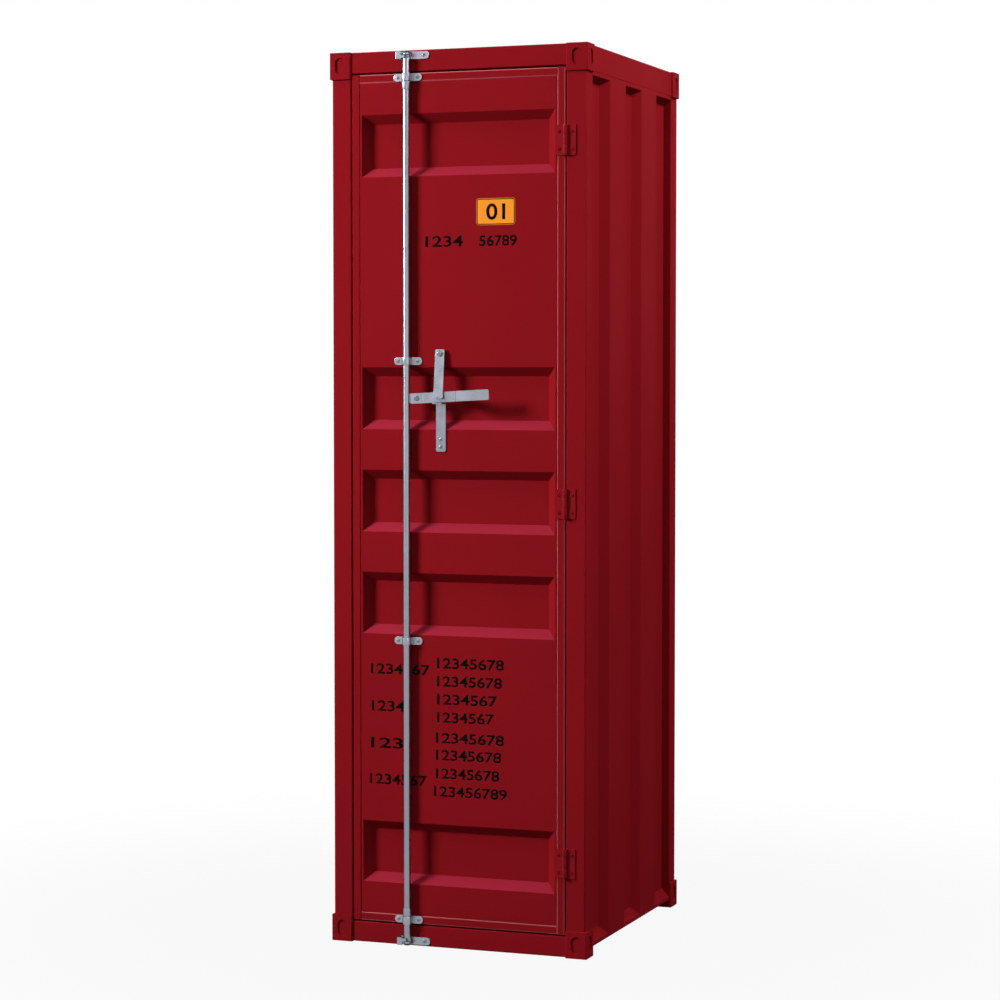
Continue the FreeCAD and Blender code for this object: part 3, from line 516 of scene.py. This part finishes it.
def join_pieces(pieces: list[bpy.types.Object], name: str) -> bpy.types.Object:
    """Join pieces into one object.

    Args:
        pieces: Objects to join.
        name: Name of the joined object.

    Returns:
        The joined object.
    """
    make_active(pieces[0])
    for piece in pieces:
        piece.select_set(True)
    bpy.ops.object.join()
    pieces[0].name = name
    pieces[0].data.name = name
    return pieces[0]


def finish_piece(
    piece: bpy.types.Object,
    body: Body,
    material: bpy.types.Material,
    stands_for: tuple[str, ...] = (),
) -> None:
    """Give a new piece its material and its body, and hide the nodes it stands for.

    Args:
        piece: The new object.
        body: Body that carries it.
        material: Material of all its faces.
        stands_for: CAD nodes that it replaces.
    """
    piece.data.materials.clear()
    piece.data.materials.append(material)
    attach(piece, body.value)
    if stands_for:
        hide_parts(*stands_for)
    log.info("piece %s on %s, %d faces", piece.name, body.value, len(piece.data.polygons))


@dataclass
class SteelWork:
    """The sheet metal and bar pieces that come from the frame: their coats and their softened edges."""

    nodes: dict[str, bpy.types.Object]
    finishes: FinishSet
    merge_mm: float = 0.02
    flat_angle: float = math.radians(0.6)
    edge_angle: float = math.radians(35)
    edge_radius_mm: float = 0.8
    sheet_radius_mm: float = 0.5
    edge_steps: int = 3
    sheets: tuple[str, ...] = (
        "door_panel", "side_panel_left", "side_panel_right", "back_panel", "roof_panel", "floor_panel",
        "hat_shelf", "shelf_brackets", "door_stop",
    )
    # bars whose edges carry the painted highlight
    paler_tone: tuple[str, ...] = ("door_stile_hinge", "door_rail_top", "door_rail_bottom")
    # panel whose up-facing bevels carry the painted sheen
    ledged: tuple[str, ...] = ("door_panel",)
    glossy: tuple[str, ...] = (
        "hinge_frame_leaf_top", "hinge_frame_leaf_middle", "hinge_frame_leaf_bottom",
        "hinge_door_leaf_top", "hinge_door_leaf_middle", "hinge_door_leaf_bottom", "hinge_pins",
    )
    fixings: tuple[str, ...] = ("handle_rivet", "catch_rivet")
    special_radius_mm: dict[str, float] = field(default_factory=lambda: {
        "handle": 0.9,
        "handle_rivet": 1.6,
        "catch_rivet": 1.6,
        "rod_end_caps": 1.2,
    })
    level_brushed: tuple[str, ...] = (
        "handle", "handle_hub", "hanging_rail", "rod_keeper_top", "rod_keeper_bottom",
        "rod_bracket_top", "rod_bracket_upper", "rod_bracket_lower", "rod_bracket_bottom",
    )

    def coat(self, name: str, slot: str) -> bpy.types.Material:
        """Choose a node's material.

        Args:
            name: Node name.
            slot: The node's slot in the record.

        Returns:
            The material for the node.
        """
        choices = {
            RED_EDGE_HIGHLIGHT: self.paler_tone, RED_LEDGE_SHEEN: self.ledged, RED_GLOSSY: self.glossy,
            ZINC_FIXING: self.fixings, ZINC_LEVEL: self.level_brushed,
        }
        for finish, names in choices.items():
            if name in names:
                return self.finishes.get(finish)
        usual = {Slot.RED: RED_ENAMEL, Slot.CAP: BLACK_CAP, Slot.ZINC: ZINC_UPRIGHT_SHADED}
        return self.finishes.get(usual[Slot(slot)])

    def soften(self, node: bpy.types.Object, radius_mm: float) -> None:
        """Round a node's edges with live modifiers, as folding, shearing and the coat round the real ones.

        Args:
            node: CAD object, whose own mesh stays as it is.
            radius_mm: Width of the rounding.
        """
        weld = node.modifiers.new("merge", "WELD")
        weld.merge_threshold = self.merge_mm * MM
        flats = node.modifiers.new("flats", "DECIMATE")
        flats.decimate_type = "DISSOLVE"
        flats.angle_limit = self.flat_angle
        edges = node.modifiers.new("edges", "BEVEL")
        edges.width = radius_mm * MM
        edges.segments = self.edge_steps
        edges.limit_method = "ANGLE"
        edges.angle_limit = self.edge_angle
        edges.use_clamp_overlap = True

    def dress(self) -> None:
        """Coat every node and round its edges."""
        for name, node in self.nodes.items():
            slot = node.material_slots[0].material.name
            for material_slot in node.material_slots:
                material_slot.material = self.coat(name, slot)
            usual_radius = self.sheet_radius_mm if name in self.sheets else self.edge_radius_mm
            self.soften(node, self.special_radius_mm.get(name, usual_radius))
            log.info("node %s in %s", name, node.material_slots[0].material.name)


@dataclass
class Screws:
    """Pan head screws with a cross recess, one group for each group of plain screws in the frame."""

    nodes: dict[str, bpy.types.Object]
    finishes: FinishSet
    head_radius: float = 4.0 * MM
    head_height: float = 1.8 * MM
    sides: int = 24
    crown_steps: tuple[tuple[float, float], ...] = ((0.26, 0.84), (0.12, 0.62))
    slot_length: float = 4.4 * MM
    slot_width: float = 1.0 * MM
    slot_depth: float = 0.9 * MM
    slot_taper: float = 0.6
    smooth_angle: float = math.radians(40)
    same_screw: float = 12.0 * MM  # points of the frame's plain screws nearer than this are on one screw
    turn_step: float = math.radians(37)

    def slot_cutter(self, turn: float) -> bpy.types.Object:
        """Model one tapered blade of the cross recess.

        Args:
            turn: Angle of the blade round the screw.

        Returns:
            The cutter, standing in the top of the head.
        """
        start_fresh()
        bpy.ops.mesh.primitive_cube_add(
            size=1.0, location=(0, 0, self.head_height), rotation=(0, 0, turn))
        blade = bpy.context.object
        blade.scale = (self.slot_length, self.slot_width, 2 * self.slot_depth)
        bpy.ops.object.transform_apply(location=True, rotation=True, scale=True)
        bpy.ops.object.mode_set(mode="EDIT")
        pick(blade, Pick.FACES, lambda middle, normal: normal.z < -STEEP)
        bpy.ops.transform.resize(value=(self.slot_taper, self.slot_taper, 1.0))
        bpy.ops.object.mode_set(mode="OBJECT")
        return blade

    def model_screw(self) -> bpy.types.Object:
        """Model one head standing on the floor of its own frame and return it."""
        start_fresh()
        rim_height = self.head_height * (1 - sum(rise for rise, _ in self.crown_steps))
        bpy.ops.mesh.primitive_cylinder_add(
            vertices=self.sides, radius=self.head_radius, depth=rim_height, location=(0, 0, rim_height / 2))
        head = bpy.context.object
        bpy.ops.object.transform_apply(location=True, rotation=True, scale=True)
        bpy.ops.object.mode_set(mode="EDIT")
        pick(head, Pick.FACES, lambda middle, normal: normal.z > STEEP)
        for rise, share in self.crown_steps:
            step_up = (0, 0, rise * self.head_height)
            bpy.ops.mesh.extrude_region_move(TRANSFORM_OT_translate={"value": step_up})
            bpy.ops.transform.resize(value=(share, share, 1.0))
        bpy.ops.object.mode_set(mode="OBJECT")
        for turn in (0.0, math.pi / 2):
            blade = self.slot_cutter(turn)
            apply_modifier(head, "BOOLEAN", object=blade, operation="DIFFERENCE", solver="EXACT")
            bpy.data.objects.remove(blade)
        make_active(head)
        bpy.ops.object.shade_smooth_by_angle(angle=self.smooth_angle)
        return head

    def places(self, node: bpy.types.Object) -> list[Vector]:
        """Find the screws of a node.

        Args:
            node: CAD object that holds plain screws whose axes run along Y.

        Returns:
            The seat of each head, on the screw's axis.
        """
        groups: list[list[Vector]] = []
        for vert in node.data.vertices:
            for group in groups:
                apart = math.hypot(vert.co.x - group[0].x, vert.co.z - group[0].z)
                if apart < self.same_screw:
                    group.append(vert.co)
                    break
            else:
                groups.append([vert.co])
        seats = []
        for group in groups:
            low = Vector(min(point[axis] for point in group) for axis in range(3))
            high = Vector(max(point[axis] for point in group) for axis in range(3))
            seats.append(Vector(((low.x + high.x) / 2, low.y + self.head_height, (low.z + high.z) / 2)))
        return seats

    def build(self) -> None:
        """Put a modelled head on every screw of the frame, each turned as it was driven home."""
        pattern = self.model_screw()
        groups = {
            "hinge_screws_frame": (Body.CABINET, Slot.RED, RED_ENAMEL),
            "hinge_screws_door": (Body.DOOR, Slot.RED, RED_ENAMEL),
            "keeper_screws": (Body.CABINET, Slot.ZINC, ZINC_FIXING),
            "lock_gear_screws": (Body.DOOR, Slot.ZINC, ZINC_FIXING),
        }
        for name, (body, slot, finish) in groups.items():
            heads = []
            for count, seat in enumerate(self.places(self.nodes[name])):
                turn = Matrix.Rotation(count * self.turn_step, 4, "Z")
                place = Matrix.Translation(seat) @ FACING_FRONT @ turn
                heads.append(copy_piece(pattern, name + "_head", place))
            joined = join_pieces(heads, name + "_heads")
            finish_piece(joined, body, self.finishes.get(finish), (name,))
        bpy.data.objects.remove(pattern)


class Ring(Enum):
    """The rings of a weld bead, with their share of its radius."""

    END = 0.5
    DIP = 0.82
    CREST = 1.08


@dataclass(frozen=True)
class WeldBead:
    """A weld bead with the ripples that the torch left."""

    radius: float
    ripples: int
    sides: int = 10

    def ring(self, height: float, length: float) -> Ring:
        """Tell which kind of ring a point of the bead is on.

        Args:
            height: The point's height.
            length: Length of the bead.

        Returns:
            The kind of ring.
        """
        number = round((height / length + 0.5) * 2 * self.ripples)
        if number in (0, 2 * self.ripples):
            return Ring.END
        return Ring.CREST if number % 2 else Ring.DIP

    def model(self, length: float) -> bpy.types.Object:
        """Model one upright bead.

        Args:
            length: Length of the bead along Z.

        Returns:
            The bead, centred on the origin.
        """
        start_fresh()
        bpy.ops.mesh.primitive_cylinder_add(vertices=self.sides, radius=self.radius, depth=length)
        bead = bpy.context.object
        bpy.ops.object.mode_set(mode="EDIT")
        pick(bead, Pick.EDGES, lambda middle, along: abs(along.z) > STEEP)
        bpy.ops.mesh.subdivide(number_cuts=2 * self.ripples - 1)
        for ring in Ring:
            pick(bead, Pick.VERTS, lambda place, normal: self.ring(place.z, length) is ring)
            bpy.ops.transform.resize(value=(ring.value, ring.value, 1.0), center_override=(0, 0, 0))
        bpy.ops.object.mode_set(mode="OBJECT")
        apply_modifier(bead, "SUBSURF", levels=1, render_levels=1)
        make_active(bead)
        bpy.ops.object.shade_smooth()
        return bead


@dataclass
class WallSeams:
    """The weld seams that close the walls against the rounded edges of the rails below and above them."""

    finishes: FinishSet
    bead: WeldBead = WeldBead(1.3 * MM, ripples=45, sides=8)
    behind_face: float = 1.8 * MM
    past_wall: float = 0.5 * MM

    def build(self) -> None:
        """Lay a seam along the foot and the head of each wall."""
        seams = []
        for wall, axis in (("side_panel_left", "Y"), ("side_panel_right", "Y"), ("back_panel", "X")):
            low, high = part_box(wall)
            middle = (low + high) / 2
            if axis == "Y":
                pattern = self.bead.model(high.y - low.y)
                middle.x = low.x + self.behind_face if middle.x < 0 else high.x - self.behind_face
                turn = Matrix.Rotation(math.pi / 2, 4, "X")
            else:
                pattern = self.bead.model(high.x - low.x)
                middle.y = high.y - self.behind_face
                turn = Matrix.Rotation(math.pi / 2, 4, "Y")
            for level in (low.z - self.past_wall, high.z + self.past_wall):
                place = Matrix.Translation((middle.x, middle.y, level))
                seams.append(copy_piece(pattern, wall + "_seam", place @ turn))
            bpy.data.objects.remove(pattern)
        joined = join_pieces(seams, "wall_weld_seams")
        finish_piece(joined, Body.CABINET, self.finishes.get(RED_ENAMEL))


@dataclass
class HubWeld:
    """The weld beads that hold the handle's hub lug to the lock rod, in front of the lug and behind it."""

    finishes: FinishSet
    bead: WeldBead = WeldBead(1.7 * MM, ripples=9)
    length_share: float = 0.86
    off_rod: float = 0.18 * MM
    off_lug: float = 0.27 * MM

    def build(self) -> None:
        """Lay both beads in the corners between the rod and the lug."""
        rod_low, rod_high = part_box("lock_rod")
        hub_low, hub_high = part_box("handle_hub")
        rod_radius = (rod_high.y - rod_low.y) / 2
        axis = Vector(((rod_low.x + rod_high.x) / 2, (rod_low.y + rod_high.y) / 2, 0))
        middle = (hub_low.z + hub_high.z) / 2
        pattern = self.bead.model(self.length_share * (hub_high.z - hub_low.z))
        beads = []
        for face, side in ((hub_low.y, -1), (hub_high.y, 1)):
            reach = math.sqrt(rod_radius ** 2 - (face - axis.y) ** 2)
            corner = Vector((axis.x + reach + self.off_rod, face + side * self.off_lug, middle))
            beads.append(copy_piece(pattern, "hub_weld_bead", Matrix.Translation(corner)))
        joined = join_pieces(beads, "hub_weld_beads")
        finish_piece(joined, Body.ROD, self.finishes.get(ZINC_UPRIGHT_SHADED))
        bpy.data.objects.remove(pattern)


@dataclass
class Markings:
    """Plain numbers on the door: an orange plate, one line under it and rows of digits lower down."""

    finishes: FinishSet
    plate_left: float = 47.5 * MM
    plate_right: float = 142.0 * MM
    plate_low: float = 1677.0 * MM
    plate_high: float = 1738.0 * MM
    plate_thickness: float = 0.5 * MM
    plate_rounding: float = 1 / 3  # of the plate's thickness
    rounding_steps: int = 2
    corner_radius: float = 6.0 * MM
    corner_steps: int = 6
    number_inset: tuple[float, float] = (24.0 * MM, 12.0 * MM)
    border_inset: float = 1.0 * MM
    border_width: float = 2.0 * MM
    ink: float = 0.12 * MM
    digit_height: float = 25.0 * MM
    boldness: float = 0.018  # as a share of the font's size
    curve_steps: int = 4
    lines: tuple[tuple[str, float, float, float], ...] = (  # digits, then left, right and foot in millimetres
        ("1234", -79.0, 14.0, 1629.0),
        ("56789", 54.0, 146.0, 1629.0),
        ("1234567", -218.0, -69.0, 636.0),
        ("12345678", -51.0, 115.0, 654.0),
        ("12345678", -51.0, 110.0, 612.0),
        ("1234", -216.0, -132.0, 549.0),
        ("1234567", -51.0, 98.0, 570.0),
        ("1234567", -51.0, 90.0, 528.0),
        ("123", -218.0, -137.0, 462.0),
        ("12345678", -54.0, 115.0, 480.0),
        ("12345678", -54.0, 108.0, 440.0),
        ("1234567", -221.0, -77.0, 377.0),
        ("12345678", -54.0, 103.0, 397.0),
        ("123456789", -59.0, 122.0, 355.0),
    )

    def model_sheet(self, name: str, inset: float) -> bpy.types.Object:
        """Model a flat sheet with rounded corners, the size of the plate less an inset.

        Args:
            name: Name of the sheet.
            inset: Distance from the plate's edge to the sheet's edge.

        Returns:
            The sheet, lying on the floor of its own frame and centred there.
        """
        start_fresh()
        bpy.ops.mesh.primitive_plane_add(size=1.0)
        sheet = bpy.context.object
        sheet.name = name
        sheet.scale = (
            self.plate_right - self.plate_left - 2 * inset, self.plate_high - self.plate_low - 2 * inset, 1.0)
        bpy.ops.object.transform_apply(location=True, rotation=True, scale=True)
        bpy.ops.object.mode_set(mode="EDIT")
        pick(sheet, Pick.VERTS, lambda place, normal: True)
        bpy.ops.mesh.bevel(affect="VERTICES", offset=self.corner_radius - inset, segments=self.corner_steps)
        return sheet

    def thicken(self, sheet: bpy.types.Object, thickness: float) -> None:
        """Give a flat sheet in edit mode its thickness and close it.

        Args:
            sheet: Sheet whose faces lie flat.
            thickness: Thickness of the finished sheet.
        """
        pick(sheet, Pick.FACES, lambda middle, normal: True)
        bpy.ops.mesh.extrude_region_move(TRANSFORM_OT_translate={"value": (0, 0, thickness)})
        bpy.ops.mesh.select_all(action="SELECT")
        bpy.ops.mesh.normals_make_consistent(inside=False)
        bpy.ops.object.mode_set(mode="OBJECT")

    def stand_up(self, piece: bpy.types.Object, face: float) -> None:
        """Turn a flat piece to the front and set it in the plate's place.

        Args:
            piece: Piece that lies on the floor of its own frame.
            face: Y of the surface that carries it.
        """
        middle = Vector((
            (self.plate_left + self.plate_right) / 2, face, (self.plate_low + self.plate_high) / 2))
        piece.data.transform(Matrix.Translation(middle) @ FACING_FRONT)

    def model_plate(self, face: float) -> bpy.types.Object:
        """Model the orange plate.

        Args:
            face: Y of the door panel's front.

        Returns:
            The plate in its place.
        """
        plate = self.model_sheet("number_plate", 0.0)
        self.thicken(plate, self.plate_thickness)
        bpy.ops.object.mode_set(mode="EDIT")
        half_way = self.plate_thickness / 2
        pick(plate, Pick.EDGES, lambda middle, along: middle.z > half_way and abs(along.z) < STEEP)
        bpy.ops.mesh.bevel(
            offset=self.plate_rounding * self.plate_thickness, segments=self.rounding_steps, affect="EDGES")
        bpy.ops.object.mode_set(mode="OBJECT")
        self.stand_up(plate, face)
        return plate

    def model_border(self, face: float) -> bpy.types.Object:
        """Model the black line printed round the plate.

        Args:
            face: Y of the plate's front.

        Returns:
            The border in its place.
        """
        border = self.model_sheet("plate_border", self.border_inset)
        pick(border, Pick.FACES, lambda middle, normal: True)
        bpy.ops.mesh.inset(thickness=self.border_width)
        bpy.ops.mesh.delete(type="FACE")
        self.thicken(border, self.ink)
        self.stand_up(border, face)
        return border

    def model_digits(
        self, digits: str, left: float, right: float, low: float, high: float, face: float
    ) -> bpy.types.Object:
        """Model a line of digits that fills a box on an upright surface.

        Args:
            digits: The digits.
            left: Lowest X.
            right: Highest X.
            low: Lowest Z.
            high: Highest Z.
            face: Y of the surface that carries them.

        Returns:
            The digits as one mesh in their place.
        """
        start_fresh()
        bpy.ops.object.text_add()
        line = bpy.context.object
        line.data.body = digits
        line.data.size = 1.0
        line.data.offset = self.boldness
        line.data.resolution_u = self.curve_steps
        bpy.ops.object.convert(target="MESH")
        line = bpy.context.object
        xs = [vert.co.x for vert in line.data.vertices]
        ys = [vert.co.y for vert in line.data.vertices]
        across = (right - left) / (max(xs) - min(xs))
        upward = (high - low) / (max(ys) - min(ys))
        place = Matrix.Translation((left, face, low)) @ FACING_FRONT
        fit = Matrix.Diagonal((across, upward, 1.0, 1.0)) @ Matrix.Translation((-min(xs), -min(ys), 0))
        line.data.transform(fit)
        bpy.ops.object.mode_set(mode="EDIT")
        self.thicken(line, self.ink)
        line.data.transform(place)
        return line

    def build(self) -> None:
        """Put the plate, its border and all numbers on the door."""
        door_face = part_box("door_panel")[0].y
        plate = self.model_plate(door_face)
        finish_piece(plate, Body.DOOR, self.finishes.get(ORANGE_SHEET))
        plate_face = door_face - self.plate_thickness
        border = self.model_border(plate_face)
        finish_piece(border, Body.DOOR, self.finishes.get(BLACK_INK))
        across, upward = self.number_inset
        number = self.model_digits(
            "01", self.plate_left + across, self.plate_right - across, self.plate_low + upward,
            self.plate_high - upward, plate_face)
        number.name = "plate_number"
        finish_piece(number, Body.DOOR, self.finishes.get(BLACK_INK))
        printed = [
            self.model_digits(
                digits, left * MM, right * MM, low * MM, low * MM + self.digit_height, door_face)
            for digits, left, right, low in self.lines
        ]
        rows = join_pieces(printed, "door_digits")
        finish_piece(rows, Body.DOOR, self.finishes.get(BLACK_INK))


@dataclass(frozen=True)
class SoftBox:
    """One rectangular lamp with a soft front."""

    name: str
    place: tuple[float, float, float]
    width: float
    height: float
    watts: float
    spread: float = math.pi

    def build(self, aim: Vector) -> None:
        """Set the lamp up.

        Args:
            aim: Point that its front faces.
        """
        data = bpy.data.lights.new(self.name, "AREA")
        data.shape = "RECTANGLE"
        data.size = self.width
        data.size_y = self.height
        data.energy = self.watts
        data.spread = self.spread
        lamp = bpy.data.objects.new(self.name, data)
        lamp.location = self.place
        lamp.rotation_euler = (aim - lamp.location).to_track_quat("-Z", "Y").to_euler()
        lamp.visible_camera = False
        bpy.context.scene.collection.objects.link(lamp)
        log.info("lamp %s", self.name)


@dataclass
class Studio:
    """Pale floor, soft lamps, white surround and the camera."""

    floor_size: float = 40.0
    floor_colour: str = "#606060"
    shadow_glow: float = 0.93
    shadow_reach: tuple[float, float] = (0.7, 2.4)
    ambient: float = 0.045
    aim: tuple[float, float, float] = (0.0, -0.1, 1.3)
    lamps: tuple[SoftBox, ...] = (
        SoftBox("key_left_front", (-4.05, -3.4, 3.2), 1.5, 1.5, 106.0, math.radians(100)),
        SoftBox("fill_front_right", (3.5, -4.5, 1.6), 2.0, 2.0, 20.0),
        SoftBox("edge_right", (3.0, -0.1, 4.0), 1.2, 1.2, 122.0),
        SoftBox("overhead_front", (0.0, -2.7, 7.6), 3.0, 3.0, 120.0),
        SoftBox("fill_back", (0.0, 4.2, 2.4), 2.0, 2.0, 64.0),
    )
    camera_place: tuple[float, float, float] = (2.311, -6.210, 1.333)
    camera_tilt: float = math.radians(90 - 2.602)
    camera_turn: float = math.radians(20.574)
    lens_mm: float = 98.6

    def seen_rays(self, tree: bpy.types.NodeTree) -> bpy.types.NodeSocket:
        """Add the nodes that tell camera, glossy and transmission rays from the rest.

        Args:
            tree: Node tree that takes them.

        Returns:
            An output that is 1 for those rays and 0 for the others.
        """
        path = add_node(tree, "ShaderNodeLightPath")
        some = add_node(
            tree, "ShaderNodeMath",
            links={0: path.outputs["Is Camera Ray"], 1: path.outputs["Is Glossy Ray"]}, operation="ADD")
        every = add_node(
            tree, "ShaderNodeMath",
            links={0: some.outputs["Value"], 1: path.outputs["Is Transmission Ray"]},
            operation="ADD", use_clamp=True)
        return every.outputs["Value"]

    def build_world(self) -> None:
        """Make the white surround, whose own light on the locker is faint."""
        world = bpy.data.worlds.new("white_studio")
        bpy.context.scene.world = world
        world.use_nodes = True
        tree = world.node_tree
        tree.nodes.clear()
        faint = add_node(tree, "ShaderNodeBackground", {"Color": WHITE, "Strength": self.ambient})
        white = add_node(tree, "ShaderNodeBackground", {"Color": WHITE, "Strength": 1.0})
        mixed = add_node(
            tree, "ShaderNodeMixShader",
            links={0: self.seen_rays(tree), 1: faint.outputs["Background"], 2: white.outputs["Background"]})
        add_node(tree, "ShaderNodeOutputWorld", links={"Surface": mixed.outputs["Shader"]})

    def build_floor(self) -> None:
        """Make the pale floor: it takes the locker's shadow near by and fades to white further out."""
        start_fresh()
        bpy.ops.mesh.primitive_plane_add(size=self.floor_size)
        floor = bpy.context.object
        floor.name = "studio_floor"
        material, tree = empty_material("pale_studio_floor")
        place = add_node(tree, "ShaderNodeTexCoord").outputs["Object"]
        away = add_node(tree, "ShaderNodeVectorMath", links={0: place}, operation="LENGTH")
        near, far = self.shadow_reach
        fade = add_node(
            tree, "ShaderNodeMapRange",
            {"From Min": near, "From Max": far, "To Min": self.shadow_glow, "To Max": 1.0},
            {"Value": away.outputs["Value"]}, interpolation_type="SMOOTHSTEP")
        share = add_node(
            tree, "ShaderNodeMath",
            links={0: fade.outputs["Result"], 1: self.seen_rays(tree)}, operation="MULTIPLY")
        matt = add_node(tree, "ShaderNodeBsdfDiffuse", {"Color": linear(self.floor_colour)})
        glow = add_node(tree, "ShaderNodeEmission", {"Color": WHITE, "Strength": 1.0})
        mixed = add_node(
            tree, "ShaderNodeMixShader",
            links={0: share.outputs["Value"], 1: matt.outputs["BSDF"], 2: glow.outputs["Emission"]})
        add_node(tree, "ShaderNodeOutputMaterial", links={"Surface": mixed.outputs["Shader"]})
        floor.data.materials.append(material)

    def build_camera(self) -> None:
        """Set the camera where the photograph was taken from."""
        data = bpy.data.cameras.new("front_right_camera")
        data.lens = self.lens_mm
        camera = bpy.data.objects.new("front_right_camera", data)
        camera.location = self.camera_place
        camera.rotation_euler = (self.camera_tilt, 0.0, self.camera_turn)
        bpy.context.scene.collection.objects.link(camera)
        bpy.context.scene.camera = camera

    def build(self) -> None:
        """Build the whole studio."""
        bpy.context.scene.view_settings.view_transform = "Standard"
        self.build_world()
        self.build_floor()
        for lamp in self.lamps:
            lamp.build(Vector(self.aim))
        self.build_camera()


def clear_scene() -> None:
    """Remove whatever the new file holds."""
    for leftover in list(bpy.data.objects):
        bpy.data.objects.remove(leftover)


def main() -> None:
    """Load the frame and build the looks around it, in order."""
    logging.basicConfig(level=logging.INFO, format="%(name)s: %(message)s")
    clear_scene()
    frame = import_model()
    finishes = FinishSet()
    SteelWork(frame["nodes"], finishes).dress()
    Screws(frame["nodes"], finishes).build()
    WallSeams(finishes).build()
    HubWeld(finishes).build()
    Markings(finishes).build()
    Studio().build()
    start_fresh()


if __name__ == "__main__":
    main()
